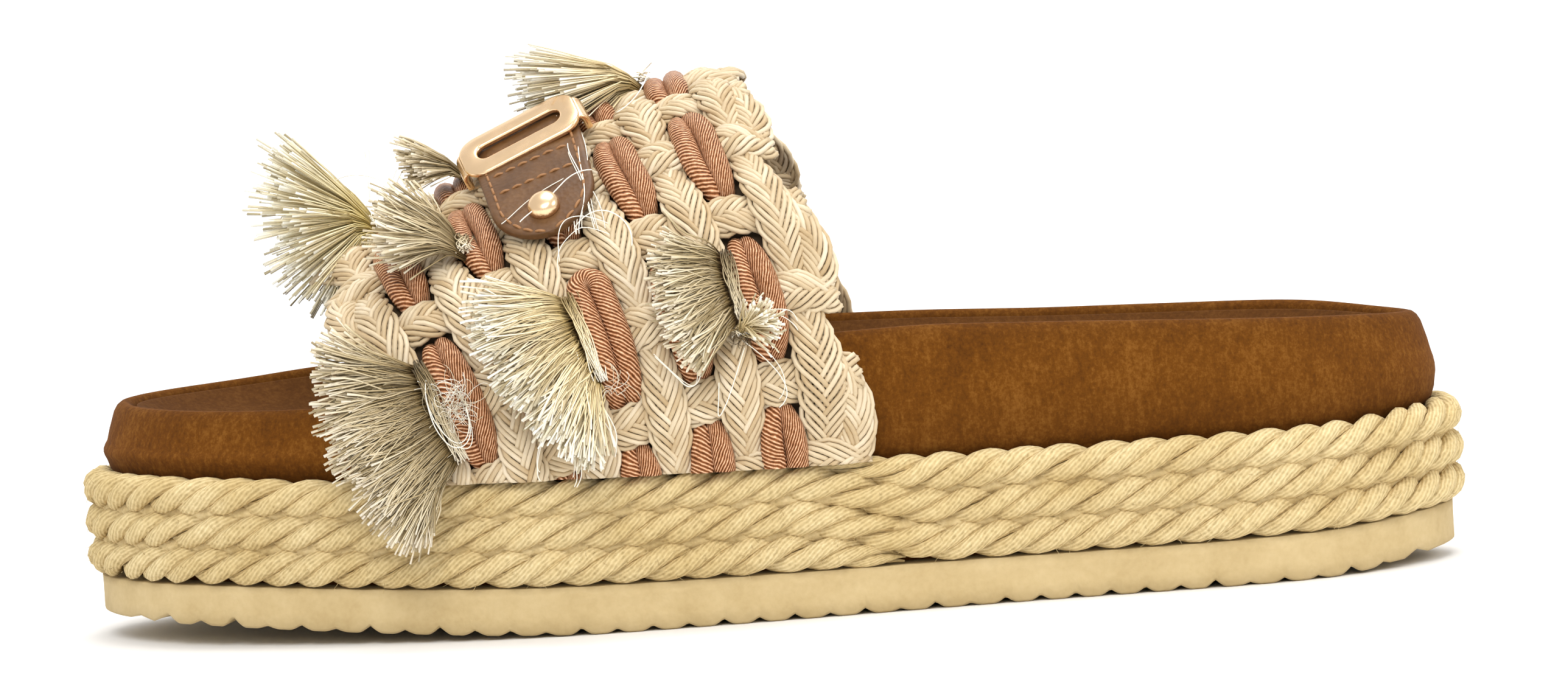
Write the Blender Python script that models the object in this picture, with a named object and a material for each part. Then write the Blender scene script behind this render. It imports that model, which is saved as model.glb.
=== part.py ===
# Rope sandal for the left foot, in metres, +Z up, toe toward -X, outer side of the foot toward -Y
# Sizes are in millimetres here and become metres when a mesh is written
import bpy
import bmesh
import math
import numpy as np
from mathutils import Vector
from mathutils.bvhtree import BVHTree

for item in list(bpy.data.objects):
    bpy.data.objects.remove(item, do_unlink=True)

MM = 0.001
GAP = 0.3

# Plan of the footbed: share along from toe to heel, outer side and inner side of the foot from the middle line
FOOTBED_LENGTH = 258.0
TOE_TIP_Y = 4.0
HEEL_TIP_Y = -1.0
PLAN_COLUMNS = ("along", "outer", "inner")
PLAN = (
    (0.045, 20.0, 27.0),
    (0.130, 34.0, 39.5),
    (0.260, 44.5, 45.5),
    (0.380, 46.5, 42.5),
    (0.520, 42.5, 34.5),
    (0.660, 37.5, 31.5),
    (0.800, 34.5, 32.0),
    (0.920, 27.0, 25.5),
)

# Heights along the shoe: x, tread bottom, outsole top, rim on the outer side, rim on the inner side, insole top
HEIGHT_COLUMNS = ("x", "tread", "outsole", "rim_outer", "rim_inner", "insole")
HEIGHTS = (
    (-136.0, 5.6, 12.3, 45.4, 45.6, 41.6),
    (-122.0, 4.7, 12.1, 44.8, 45.9, 40.6),
    (-107.0, 4.1, 11.8, 44.3, 46.3, 39.8),
    (-91.0, 3.1, 11.1, 44.1, 47.6, 39.2),
    (-76.0, 2.2, 10.4, 44.4, 48.4, 38.9),
    (-54.0, 0.9, 9.6, 46.2, 49.4, 39.4),
    (-40.0, 0.2, 9.2, 47.8, 50.4, 40.6),
    (-34.0, 0.0, 9.1, 48.6, 50.8, 41.2),
    (0.0, 0.0, 8.8, 52.4, 52.4, 44.8),
    (30.0, 0.0, 8.7, 53.0, 52.0, 44.6),
    (57.0, 0.0, 8.6, 51.7, 50.8, 42.8),
    (80.0, 0.0, 8.6, 50.5, 50.2, 41.4),
    (104.0, 0.0, 8.9, 49.2, 49.7, 40.6),
    (112.0, 0.5, 9.3, 48.7, 49.2, 40.6),
    (122.0, 1.9, 10.1, 48.0, 47.8, 41.2),
    (136.0, 3.8, 11.2, 47.0, 47.0, 42.6),
)

# Rope: three turns of one three strand rope round the footbed
ROPE_TURNS = 3
ROPE_CREST = 3.6
ROPE_HOLLOW = 2.5
ROPE_PITCH = 6.5
ROPE_CENTRE_OUT = 1.6
ROPE_SECTIONS_PER_TURN = 168
ROPE_START_X = 23.5
ROPE_END_X = 10.0
ROPE_STEP_START_X = 2.0
ROPE_STEP_LENGTH = 32.0
ROPE_BAND = GAP + 2 * ROPE_CREST + (ROPE_TURNS - 1) * ROPE_PITCH

# Outsole
OUTSOLE_OUT = 2.6
LUG_PITCH = 6.4
LUG_FLAT_SHARE = 0.52
LUG_DEPTH_LARGE = 2.4
LUG_DEPTH_SMALL = 1.6
TREAD_BEVEL = 1.0

# Footbed block and insole: how far inside the plan each edge line stands and how far below the rim
BLOCK_IN_BEHIND_ROPE = 2.4
RIM_ROUND_COLUMNS = ("inside", "below_rim")
RIM_ROUND = (
    (1.6, 3.4),
    (2.2, 1.1),
    (3.9, 0.0),
    (5.5, 0.9),
)
INSOLE_EDGE_IN = 6.2
INSOLE_WALL_IN = 11.0
INSOLE_FLOOR_IN = 17.0
INSOLE_EDGE_BELOW_RIM = 1.4
INSOLE_WALL_SHARE = 0.28
INSOLE_THICK = 1.6

# Upper: one woven wall over the foot; c counts the copper cord columns from the heel side, row counts from the crown
ROW_LENGTH = 14.2
ROW_SHIFT = -0.3
COLUMN_REAR = 0.07
COLUMN_FRONT = 5.93
BASE_REAR_X = 17.5
BASE_FRONT_X = -60.5
CROWN_REAR_X = -3.0
CROWN_FRONT_X = -83.0
RIDGE_Y = 3.0
RIDGE_COLUMNS = ("share", "ridge")
RIDGE = (
    (-0.3, 105.5),
    (0.0, 103.2),
    (0.10, 102.2),
    (0.25, 98.6),
    (0.45, 92.2),
    (0.70, 82.4),
    (0.90, 74.2),
    (1.00, 70.2),
    (1.30, 58.0),
)
RAISED_TOP = 5.0
ARCH_START_REAR = 42.0
ARCH_START_FRONT = 41.5
FOOT_CLEAR = 0.35
WALL_LEAN = 12.0
EDGE_SCALLOP = 1.6
CUT_Z_REAR = 30.15
CUT_Z_FRONT = 31.35

# Lift of the wall's outer face above its inner face, by what lies on top there
LIFT_BRAID_OVER = 5.0
LIFT_WEFT_OVER = 4.5
LIFT_BRAID_DIVES = 4.0
LIFT_UNDER_CORD = 2.4
LIFT_BETWEEN_COLUMNS = 3.5
LIFT_BESIDE_CORD = 2.7
LIFT_HOLLOW = 2.4

# Copper cord pairs
CORD_HALF_LENGTH = 0.72
CORD_TOP = 6.3
CORD_VALLEY = 4.9
CORD_BOTTOM = 3.1
CORD_END_BOTTOM = 3.9
CORD_END_TOP = 5.1
CORD_LEFT_ABOVE_CUT = 6.2

# Buckle
BUCKLE_X = -43.4
BUCKLE_LEAN = 1.8
LEATHER_LIFT = 7.3
LEATHER_THICK = 1.7
LEATHER_COLUMNS = ("row", "half_width")
LEATHER = (
    (-2.98, 5.4),
    (-2.75, 8.4),
    (-2.33, 9.6),
    (-1.60, 10.3),
    (-0.90, 10.6),
    (-0.20, 10.6),
    (0.50, 10.6),
    (1.20, 10.3),
    (1.90, 9.6),
    (2.32, 8.4),
    (2.55, 5.4),
)
PLATE_LENGTH = 25.0
PLATE_WIDTH = 13.0
PLATE_THICK = 1.4
PLATE_SLOT_LENGTH = 18.0
PLATE_SLOT_WIDTH = 4.2
PLATE_ROW = -0.95
PLATE_LIFT = 9.45
RIVET_RADIUS = 3.1
RIVET_HEIGHT = 2.2
RIVET_ROWS = (-2.65, 1.95)


def periodic_curve(points, count):
    # Closed smooth curve through the given points
    held = np.array(points, float)
    size = len(held)
    matrix = np.zeros((size, size))
    for i in range(size):
        matrix[i, i] = 4.0
        matrix[i, (i - 1) % size] = 1.0
        matrix[i, (i + 1) % size] = 1.0
    control = np.linalg.solve(matrix, 6.0 * held)
    t = np.linspace(0, size, count, endpoint=False)
    k = t.astype(int)
    u = (t - k)[:, None]
    w0 = (1 - u) ** 3 / 6
    w1 = (3 * u ** 3 - 6 * u ** 2 + 4) / 6
    w2 = (-3 * u ** 3 + 3 * u ** 2 + 3 * u + 1) / 6
    w3 = u ** 3 / 6
    return (w0 * control[(k - 1) % size] + w1 * control[k % size]
            + w2 * control[(k + 1) % size] + w3 * control[(k + 2) % size])


def plan_loop():
    # The plan of the footbed from the toe tip down the outer side, round the heel and back on the inner side
    outer = [((row[0] - 0.5) * FOOTBED_LENGTH, -row[1]) for row in PLAN]
    inner = [((row[0] - 0.5) * FOOTBED_LENGTH, row[2]) for row in reversed(PLAN)]
    tip = [(-0.5 * FOOTBED_LENGTH, TOE_TIP_Y)]
    heel = [(0.5 * FOOTBED_LENGTH, HEEL_TIP_Y)]
    return periodic_curve(tip + outer + heel + inner, 720)


PLAN_LOOP = plan_loop()


def offset_loop(distance):
    # The plan moved outward by distance, inward if negative
    ahead = np.roll(PLAN_LOOP, -1, 0) - np.roll(PLAN_LOOP, 1, 0)
    ahead = ahead / np.linalg.norm(ahead, axis=1)[:, None]
    outward = np.stack([ahead[:, 1], -ahead[:, 0]], 1)
    return PLAN_LOOP + outward * distance


def side_lines(distance, shares):
    # Outer and inner side of an offset plan at stations given as shares of its own length
    loop = offset_loop(distance)
    first = int(np.argmin(loop[:, 0]))
    loop = np.roll(loop, -first, 0)
    last = int(np.argmax(loop[:, 0]))
    outer = loop[:last + 1]
    inner = np.vstack([loop[last:], loop[:1]])[::-1]
    x = loop[0, 0] + (loop[last, 0] - loop[0, 0]) * shares
    return x, np.interp(x, outer[:, 0], outer[:, 1]), np.interp(x, inner[:, 0], inner[:, 1])


def height(name, x):
    # Value of one named column of the heights table at x
    table = np.array(HEIGHTS)
    return np.interp(x, table[:, 0], table[:, HEIGHT_COLUMNS.index(name)])


def finish_mesh(name, points, faces, material, cut=False):
    # One closed body with its own material; a cut body ends at the sloping plane over the rope
    data = bpy.data.meshes.new(name)
    body = bmesh.new()
    made = [body.verts.new([float(v) * MM for v in p]) for p in points]
    for face in faces:
        body.faces.new([made[i] for i in face])
    if cut:
        slope = (CUT_Z_FRONT - CUT_Z_REAR) / (BASE_FRONT_X - BASE_REAR_X)
        parts = body.verts[:] + body.edges[:] + body.faces[:]
        bmesh.ops.bisect_plane(body, geom=parts, plane_co=(BASE_REAR_X * MM, 0.0, CUT_Z_REAR * MM),
                               plane_no=(-slope, 0.0, 1.0), dist=1e-7, clear_inner=True)
        rim = [e for e in body.edges if e.is_boundary]
        if rim:
            bmesh.ops.holes_fill(body, edges=rim, sides=0)
    bmesh.ops.triangulate(body, faces=body.faces[:], quad_method="BEAUTY", ngon_method="BEAUTY")
    bmesh.ops.recalc_face_normals(body, faces=body.faces[:])
    volume = body.calc_volume(signed=True)
    if volume < 0:
        bmesh.ops.reverse_faces(body, faces=body.faces[:])
    count = len(body.faces)
    body.to_mesh(data)
    body.free()
    data.materials.append(material)
    made_object = bpy.data.objects.new(name, data)
    bpy.context.scene.collection.objects.link(made_object)
    print(name, "triangles", count)
    return made_object


def plain_material(name, colour, roughness, metallic=0.0):
    made = bpy.data.materials.new(name)
    made.use_nodes = True
    shader = made.node_tree.nodes["Principled BSDF"]
    shader.inputs["Base Color"].default_value = (colour[0], colour[1], colour[2], 1.0)
    shader.inputs["Roughness"].default_value = roughness
    shader.inputs["Metallic"].default_value = metallic
    made.diffuse_color = (colour[0], colour[1], colour[2], 1.0)
    return made


rubber = plain_material("sole_foam", (0.68, 0.50, 0.26), 0.75)
rope_yarn = plain_material("rope_yarn", (0.60, 0.48, 0.22), 0.9)
suede = plain_material("brown_suede", (0.22, 0.075, 0.015), 0.95)
suede_lining = plain_material("insole_suede", (0.19, 0.065, 0.013), 0.95)
braid = plain_material("cream_braid", (0.80, 0.70, 0.52), 0.7)
copper_satin = plain_material("copper_satin", (0.45, 0.17, 0.07), 0.4)
pale_fringe = plain_material("cream_fringe", (0.78, 0.74, 0.48), 0.6)
grey_fringe = plain_material("beige_fringe", (0.45, 0.37, 0.24), 0.6)
leather = plain_material("brown_leather", (0.19, 0.09, 0.03), 0.45)
gold = plain_material("gold_metal", (0.83, 0.56, 0.35), 0.2, 1.0)

STATIONS = 27
SHARES = 0.5 - 0.5 * np.cos(np.pi * np.linspace(0.0, 1.0, STATIONS))
SHARES = 0.0011 + (1 - 0.0022) * SHARES


def ring(distance, z_outer, z_inner):
    # A closed line at one offset of the plan, its heights given for both sides
    x, outer, inner = side_lines(distance, SHARES)
    low = np.stack([x, outer, z_outer(x)], 1)
    far = np.stack([x, inner, z_inner(x)], 1)
    return np.vstack([low, far[::-1]])


def stack_rings(rings):
    # A closed body from rings that lie one after the other, with flat ends across
    count = len(rings[0])
    half = count // 2
    points = np.vstack(rings)
    faces = []
    for k in range(len(rings) - 1):
        a = k * count
        b = a + count
        for i in range(count):
            j = (i + 1) % count
            faces.append((a + i, a + j, b + j, b + i))
    top = (len(rings) - 1) * count
    for i in range(half - 1):
        p = count - 1 - i
        faces.append((i + 1, i, p, p - 1))
        faces.append((top + i, top + i + 1, top + p - 1, top + p))
    return points, faces


def rim_line(inside, below):
    return ring(-inside, lambda x: height("rim_outer", x) - below, lambda x: height("rim_inner", x) - below)


def bowl_line(inside, share, drop):
    # A line in the bowl of the footbed, at a share of the way from the insole's floor up to the rim
    def level(side):
        return lambda x: height("insole", x) + share * (height(side, x) - height("insole", x)) - drop
    return ring(-inside, level("rim_outer"), level("rim_inner"))


def build_footbed():
    def base(x):
        return height("outsole", x) + GAP

    def over_rope(x):
        return height("outsole", x) + ROPE_BAND - 0.6

    rings = [ring(-BLOCK_IN_BEHIND_ROPE, base, base)]
    rings.append(ring(-BLOCK_IN_BEHIND_ROPE, over_rope, over_rope))
    rings.append(ring(0.0, lambda x: over_rope(x) + 1.9, lambda x: over_rope(x) + 1.9))
    for row in RIM_ROUND:
        rings.append(rim_line(row[0], row[1]))
    under = INSOLE_THICK + GAP
    edge = INSOLE_EDGE_BELOW_RIM + under
    rings.append(rim_line(INSOLE_EDGE_IN - GAP, edge))
    rings.append(bowl_line(INSOLE_WALL_IN - 0.2, INSOLE_WALL_SHARE, under))
    rings.append(bowl_line(INSOLE_FLOOR_IN, 0.0, under))
    points, faces = stack_rings(rings)
    finish_mesh("footbed", points, faces, suede)


def build_insole():
    rings = [bowl_line(INSOLE_FLOOR_IN, 0.0, INSOLE_THICK)]
    rings.append(bowl_line(INSOLE_WALL_IN, INSOLE_WALL_SHARE, INSOLE_THICK))
    rings.append(rim_line(INSOLE_EDGE_IN, INSOLE_EDGE_BELOW_RIM + INSOLE_THICK))
    rings.append(rim_line(INSOLE_EDGE_IN, INSOLE_EDGE_BELOW_RIM))
    rings.append(bowl_line(INSOLE_WALL_IN, INSOLE_WALL_SHARE, 0.0))
    rings.append(bowl_line(INSOLE_FLOOR_IN, 0.0, 0.0))
    points, faces = stack_rings(rings)
    finish_mesh("insole", points, faces, suede_lining)


def build_outsole():
    # Cross sections along the shoe; each lug takes four of them
    loop = offset_loop(OUTSOLE_OUT)
    toe = loop[:, 0].min()
    heel = loop[:, 0].max()
    stations = [(toe + 0.25, 0.0), (toe + 1.6, 0.0)]
    first = int(math.ceil((toe + 4.0) / LUG_PITCH))
    last = int(math.floor((heel - 4.0) / LUG_PITCH))
    for k in range(first, last + 1):
        middle = k * LUG_PITCH
        depth = LUG_DEPTH_LARGE if k % 2 == 0 else LUG_DEPTH_SMALL
        half = 0.5 * LUG_FLAT_SHARE * LUG_PITCH
        stations.append((middle - half, 0.0))
        stations.append((middle + half, 0.0))
        if k < last:
            gap = LUG_PITCH - 2 * half
            stations.append((middle + half + 0.3 * gap, depth))
            stations.append((middle + half + 0.7 * gap, depth))
    stations.append((heel - 1.6, 0.0))
    stations.append((heel - 0.25, 0.0))
    x = np.array([s[0] for s in stations])
    depth = np.array([s[1] for s in stations])
    shares = (x - toe) / (heel - toe)
    same, outer, inner = side_lines(OUTSOLE_OUT, shares)
    bottom = height("tread", x) + depth
    top = height("outsole", x)
    bevel = np.minimum(TREAD_BEVEL, 0.2 * (inner - outer))
    lift = TREAD_BEVEL + 0.4 * depth
    section = [
        (outer, top),
        (outer, bottom + lift * 0.9),
        (outer + bevel, bottom),
        (inner - bevel, bottom),
        (inner, bottom + lift * 0.9),
        (inner, top),
    ]
    size = len(section)
    points = np.vstack([np.stack([x, s[0], s[1]], 1) for s in section])
    count = len(x)
    faces = []
    for i in range(count - 1):
        for k in range(size):
            m = (k + 1) % size
            faces.append((k * count + i, m * count + i, m * count + i + 1, k * count + i + 1))
    faces.append([k * count for k in range(size)])
    faces.append([k * count + count - 1 for k in reversed(range(size))])
    finish_mesh("outsole", points, faces, rubber)


def build_rope():
    # The rope's middle line: the offset plan walked at even steps, one row lower after each turn
    loop = offset_loop(ROPE_CENTRE_OUT)
    step = np.linalg.norm(np.roll(loop, -1, 0) - loop, axis=1)
    walked = np.concatenate([[0.0], np.cumsum(step)])
    perimeter = walked[-1]
    closed = np.vstack([loop, loop[:1]])
    near = loop[:, 1] < 0
    order = np.argsort(np.where(near, np.abs(loop[:, 0] - ROPE_START_X), 1e6))
    start = walked[order[0]]
    order_end = np.argsort(np.where(near, np.abs(loop[:, 0] - ROPE_END_X), 1e6))
    end = walked[order_end[0]]
    spacing = perimeter / ROPE_SECTIONS_PER_TURN
    total = ROPE_TURNS * perimeter - (start - end)
    count = int(total / spacing)
    along = start + spacing * np.arange(count + 1)
    inside = along % perimeter
    x = np.interp(inside, walked, closed[:, 0])
    y = np.interp(inside, walked, closed[:, 1])
    step_start = walked[int(np.argmin(np.where(near, np.abs(loop[:, 0] - ROPE_STEP_START_X), 1e6)))]
    past = (along - step_start) / perimeter
    turn = np.floor(past)
    ease = np.clip((past - turn) * perimeter / ROPE_STEP_LENGTH, 0.0, 1.0)
    ease = ease * ease * (3.0 - 2.0 * ease)
    level = np.maximum(ROPE_TURNS - turn - ease, 0.0)
    z = height("outsole", x) + GAP + ROPE_CREST + ROPE_PITCH * level
    centre = np.stack([x, y, z], 1)
    ahead = np.gradient(centre[:, :2], axis=0)
    ahead = ahead / np.linalg.norm(ahead, axis=1)[:, None]
    outward = np.stack([ahead[:, 1], -ahead[:, 0]], 1)
    swell = np.ones(count + 1)
    swell[0] = 0.55
    swell[1] = 0.9
    swell[-1] = 0.55
    swell[-2] = 0.9
    turned = (np.arange(count + 1) % 2) == 0
    angles = np.radians([90.0, 30.0, -30.0, -90.0, 180.0])
    lobed = [True, False, True, False, None]
    points = []
    for k in range(count + 1):
        for angle, high in zip(angles, lobed):
            radius = 0.5 * (ROPE_CREST + ROPE_HOLLOW)
            if high is not None:
                radius = ROPE_CREST if (high == bool(turned[k])) else ROPE_HOLLOW
            radius = radius * swell[k]
            out = radius * math.cos(angle)
            up = radius * math.sin(angle)
            points.append((centre[k, 0] + outward[k, 0] * out, centre[k, 1] + outward[k, 1] * out,
                           centre[k, 2] + up))
    faces = []
    size = len(angles)
    for k in range(count):
        for i in range(size):
            j = (i + 1) % size
            a = k * size + i
            b = k * size + j
            c = (k + 1) * size + j
            d = (k + 1) * size + i
            first_high = lobed[i] is not None and (lobed[i] == bool(turned[k]))
            if first_high:
                faces.append((a, b, c))
                faces.append((a, c, d))
            else:
                faces.append((a, b, d))
                faces.append((b, c, d))
    faces.append(list(range(size))[::-1])
    faces.append([count * size + i for i in range(size)])
    finish_mesh("rope_wrap", points, faces, rope_yarn)


def column_share(c):
    return (np.asarray(c, float) - COLUMN_REAR) / (COLUMN_FRONT - COLUMN_REAR)


def wall_line(c):
    # One column of the wall's inner face, from low on the outer side over the crown to low on the inner side
    share = float(column_share(c))
    base_x = BASE_REAR_X + (BASE_FRONT_X - BASE_REAR_X) * share
    crown_x = CROWN_REAR_X + (CROWN_FRONT_X - CROWN_REAR_X) * share
    ridge_table = np.array(RIDGE)
    ridge = float(np.interp(share, ridge_table[:, 0], ridge_table[:, 1])) - RAISED_TOP
    power = 2.0 - 1.0 * min(max(share, 0.0), 1.0)
    low = CUT_Z_REAR
    arch = ARCH_START_REAR + (ARCH_START_FRONT - ARCH_START_REAR) * min(max(share, 0.0), 1.0)
    beside = base_x - WALL_LEAN * min(max(share, 0.0), 1.0) * np.array([0.0, 0.5, 1.0])
    here, outer, inner = side_lines(0.0, (beside + 0.5 * FOOTBED_LENGTH) / FOOTBED_LENGTH)
    reach_outer = RIDGE_Y - (float(outer.min()) - FOOT_CLEAR)
    reach_inner = float(inner.max()) + FOOT_CLEAR - RIDGE_Y
    angle = np.linspace(0.0, 0.5 * np.pi, 41)
    z_arch = arch + (ridge - arch) * np.cos(angle)
    z_side = np.array([arch - 12.0, arch - 60.0])
    z_half = np.concatenate([z_arch, z_side])
    spread = np.concatenate([np.sin(angle), [1.0, 1.0]])
    rise = np.clip((z_half - low) / (ridge - low), 0.0, 1.0) ** power
    x_half = base_x + (crown_x - base_x) * rise
    near = np.stack([x_half, RIDGE_Y - reach_outer * spread, z_half], 1)
    far = np.stack([x_half, RIDGE_Y + reach_inner * spread, z_half], 1)
    step = np.linalg.norm(np.diff(near, axis=0), axis=1)
    arc_near = -np.concatenate([[0.0], np.cumsum(step)])
    step = np.linalg.norm(np.diff(far, axis=0), axis=1)
    arc_far = np.concatenate([[0.0], np.cumsum(step)])
    line = np.vstack([near[::-1], far[1:]])
    arc = np.concatenate([arc_near[::-1], arc_far[1:]])
    return line, arc


DENSE_C = np.linspace(-0.6, 6.8, 75)
DENSE_ROW = np.linspace(-8.4, 8.4, 337)


def dense_wall():
    # The wall's inner face as a dense chart over columns and rows
    chart = np.zeros((len(DENSE_C), len(DENSE_ROW), 3))
    for i, c in enumerate(DENSE_C):
        line, arc = wall_line(c)
        for axis in range(3):
            chart[i, :, axis] = np.interp(DENSE_ROW * ROW_LENGTH, arc, line[:, axis])
    return chart


CHART = dense_wall()


def wall_at(c, row):
    # Point of the wall's inner face
    u = np.clip((np.asarray(c, float) - DENSE_C[0]) / (DENSE_C[1] - DENSE_C[0]), 0, len(DENSE_C) - 1.001)
    v = np.clip((np.asarray(row, float) - DENSE_ROW[0]) / (DENSE_ROW[1] - DENSE_ROW[0]), 0,
                len(DENSE_ROW) - 1.001)
    i = u.astype(int)
    j = v.astype(int)
    a = (u - i)[..., None]
    b = (v - j)[..., None]
    return ((1 - a) * (1 - b) * CHART[i, j] + a * (1 - b) * CHART[i + 1, j]
            + (1 - a) * b * CHART[i, j + 1] + a * b * CHART[i + 1, j + 1])


def wall_frame(c, row):
    # Directions at a point: toward the toe, up the near side and along the rows, and straight out
    d = 0.12
    across = wall_at(np.asarray(c) + d, row) - wall_at(np.asarray(c) - d, row)
    along = wall_at(c, np.asarray(row) + d) - wall_at(c, np.asarray(row) - d)
    out = np.cross(across, along)
    out = out / np.linalg.norm(out, axis=-1, keepdims=True)
    across = across / np.linalg.norm(across, axis=-1, keepdims=True)
    along = along / np.linalg.norm(along, axis=-1, keepdims=True)
    crown = wall_at(c, np.zeros_like(np.asarray(row, float)))
    upward = out[..., 2:3] * 0 + 1
    here = wall_at(c, row)
    middle = crown * 0
    middle[..., 0] = here[..., 0]
    middle[..., 1] = RIDGE_Y
    middle[..., 2] = 45.0
    sign = np.sign(np.sum(out * (here - middle), axis=-1, keepdims=True)) * upward
    return across, along, out * sign


def on_wall(c, row, lift):
    # Point at a lift above the wall's inner face
    across, along, out = wall_frame(c, row)
    return wall_at(c, row) + out * np.asarray(lift, float)[..., None]


def build_upper():
    quarter = np.arange(0.25, 5.751, 0.25)
    columns = np.concatenate([[COLUMN_REAR, 0.16], quarter, [5.84, COLUMN_FRONT]])
    rows = ROW_SHIFT + 0.5 * np.arange(-15, 17)
    lift = np.zeros((len(columns), len(rows)))
    for i, c in enumerate(columns):
        part = int(round(c * 4))
        for j, row in enumerate(rows):
            half_step = int(round((row - ROW_SHIFT) * 2))
            row_middle = half_step % 2 == 0
            cord_row = half_step % 4 == 0
            if c < 0.2 or c > 5.8:
                edge = c < 0.1 or c > 5.9
                lift[i, j] = (3.2 if edge else 4.4) if row_middle else (2.6 if edge else 3.4)
            elif part % 4 == 0:
                if row_middle:
                    lift[i, j] = LIFT_UNDER_CORD if cord_row else LIFT_WEFT_OVER
                else:
                    lift[i, j] = LIFT_UNDER_CORD + 0.1
            elif part % 4 == 2:
                if row_middle:
                    lift[i, j] = LIFT_WEFT_OVER if cord_row else LIFT_BRAID_OVER
                else:
                    lift[i, j] = LIFT_BRAID_DIVES
            else:
                if row_middle:
                    lift[i, j] = LIFT_BESIDE_CORD if cord_row else LIFT_BETWEEN_COLUMNS
                else:
                    lift[i, j] = LIFT_HOLLOW
    c_grid, row_grid = np.meshgrid(columns, rows, indexing="ij")
    wave = EDGE_SCALLOP * np.cos(np.pi * (row_grid - ROW_SHIFT - 0.2)) / 15.0
    c_grid = c_grid - np.where(c_grid < 0.2, wave, 0.0) + np.where(c_grid > 5.8, wave, 0.0)
    inner = wall_at(c_grid, row_grid)
    outer = on_wall(c_grid, row_grid, lift)
    m, n = c_grid.shape
    points = np.vstack([outer.reshape(-1, 3), inner.reshape(-1, 3)])
    half = m * n
    faces = []
    for i in range(m - 1):
        for j in range(n - 1):
            a = i * n + j
            faces.append((a, a + n, a + n + 1, a + 1))
            faces.append((half + a + 1, half + a + n + 1, half + a + n, half + a))
    for i in range(m - 1):
        a = i * n
        faces.append((a + n, a, half + a, half + a + n))
        a = i * n + n - 1
        faces.append((a, a + n, half + a + n, half + a))
    for j in range(n - 1):
        a = j
        faces.append((a, a + 1, half + a + 1, half + a))
        a = (m - 1) * n + j
        faces.append((a + 1, a, half + a, half + a + 1))
    finish_mesh("upper", points, faces, braid, cut=True)


def above_cut(point, margin):
    slope = (CUT_Z_FRONT - CUT_Z_REAR) / (BASE_FRONT_X - BASE_REAR_X)
    return point[2] - (CUT_Z_REAR + slope * (point[0] - BASE_REAR_X)) > margin


def build_cords():
    # Copper cord pairs that float over the weft, named by column and row
    across = np.array([-0.225, -0.13, 0.0, 0.13, 0.225])
    stations = (-CORD_HALF_LENGTH, -0.5, 0.0, 0.5, CORD_HALF_LENGTH)
    for column in range(1, 6):
        for number, step in enumerate(range(-6, 7, 2)):
            row = ROW_SHIFT + step
            top_end = on_wall(np.array(float(column)), np.array(row + CORD_HALF_LENGTH), np.array(4.0))
            low_end = on_wall(np.array(float(column)), np.array(row - CORD_HALF_LENGTH), np.array(4.0))
            higher = top_end if top_end[2] > low_end[2] else low_end
            if not above_cut(higher, CORD_LEFT_ABOVE_CUT):
                continue
            points = []
            for place in stations:
                ending = abs(place) > 0.6
                low = CORD_END_BOTTOM if ending else CORD_BOTTOM
                high = CORD_END_TOP if ending else CORD_TOP
                valley = 0.5 * (low + high) if ending else CORD_VALLEY
                lifts = (low, high, valley, high, low)
                squeeze = 0.8 if ending else 1.0
                for side, lift in zip(across, lifts):
                    points.append(on_wall(np.array(column + side * squeeze), np.array(row + place),
                                          np.array(lift)))
            size = len(across)
            faces = []
            for k in range(len(stations) - 1):
                for i in range(size):
                    j = (i + 1) % size
                    a = k * size
                    faces.append((a + i, a + j, a + size + j, a + size + i))
            faces.append(list(range(size))[::-1])
            faces.append([(len(stations) - 1) * size + i for i in range(size)])
            finish_mesh("cord_pair_%d_%d" % (column, number + 1), points, faces, copper_satin, cut=True)


def column_at_x(x, row):
    # The column whose line passes through x in a given row
    table = wall_at(DENSE_C, np.full(len(DENSE_C), row))[:, 0]
    return float(np.interp(-x, -table, DENSE_C))


def strap_x(row):
    # Middle line of the leather: it leans toward the heel below the plate on the outer side
    return BUCKLE_X + BUCKLE_LEAN * max(PLATE_ROW - row, 0.0)


def build_buckle_strap():
    rows = np.array([r[0] for r in LEATHER])
    widths = np.array([r[1] for r in LEATHER])
    across = np.array([-1.0, 0.0, 1.0])
    points = []
    for lift in (LEATHER_LIFT, LEATHER_LIFT + LEATHER_THICK):
        for row, width in zip(rows, widths):
            for side in across:
                c = column_at_x(strap_x(row) + side * width, row)
                points.append(on_wall(np.array(c), np.array(row), np.array(lift)))
    n = len(across)
    m = len(rows)
    half = n * m
    faces = []
    for i in range(m - 1):
        for j in range(n - 1):
            a = i * n + j
            faces.append((a, a + 1, a + n + 1, a + n))
            faces.append((half + a, half + a + n, half + a + n + 1, half + a + 1))
    for i in range(m - 1):
        a = i * n
        faces.append((a, a + n, half + a + n, half + a))
        a = i * n + n - 1
        faces.append((a + n, a, half + a, half + a + n))
    for j in range(n - 1):
        a = j
        faces.append((a + 1, a, half + a, half + a + 1))
        a = (m - 1) * n + j
        faces.append((a, a + 1, half + a + 1, half + a))
    finish_mesh("buckle_strap", points, faces, leather)


def plate_frame():
    c = column_at_x(strap_x(PLATE_ROW), PLATE_ROW)
    across, along, out = wall_frame(np.array(c), np.array(PLATE_ROW))
    toe = -across * np.sign(across[0]) * 1.0
    centre = on_wall(np.array(c), np.array(PLATE_ROW), np.array(PLATE_LIFT))
    toe = toe - out * np.dot(toe, out)
    toe = toe / np.linalg.norm(toe)
    side = np.cross(out, toe)
    return centre, toe, side, out


def stadium(length, width, count):
    # Rounded oblong outline
    radius = 0.5 * width
    straight = 0.5 * length - radius
    angle = np.linspace(-0.5 * np.pi, 0.5 * np.pi, count)
    right = np.stack([straight + radius * np.cos(angle), radius * np.sin(angle)], 1)
    left = np.stack([-straight - radius * np.cos(angle), -radius * np.sin(angle)], 1)
    return np.vstack([right, left])


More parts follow.
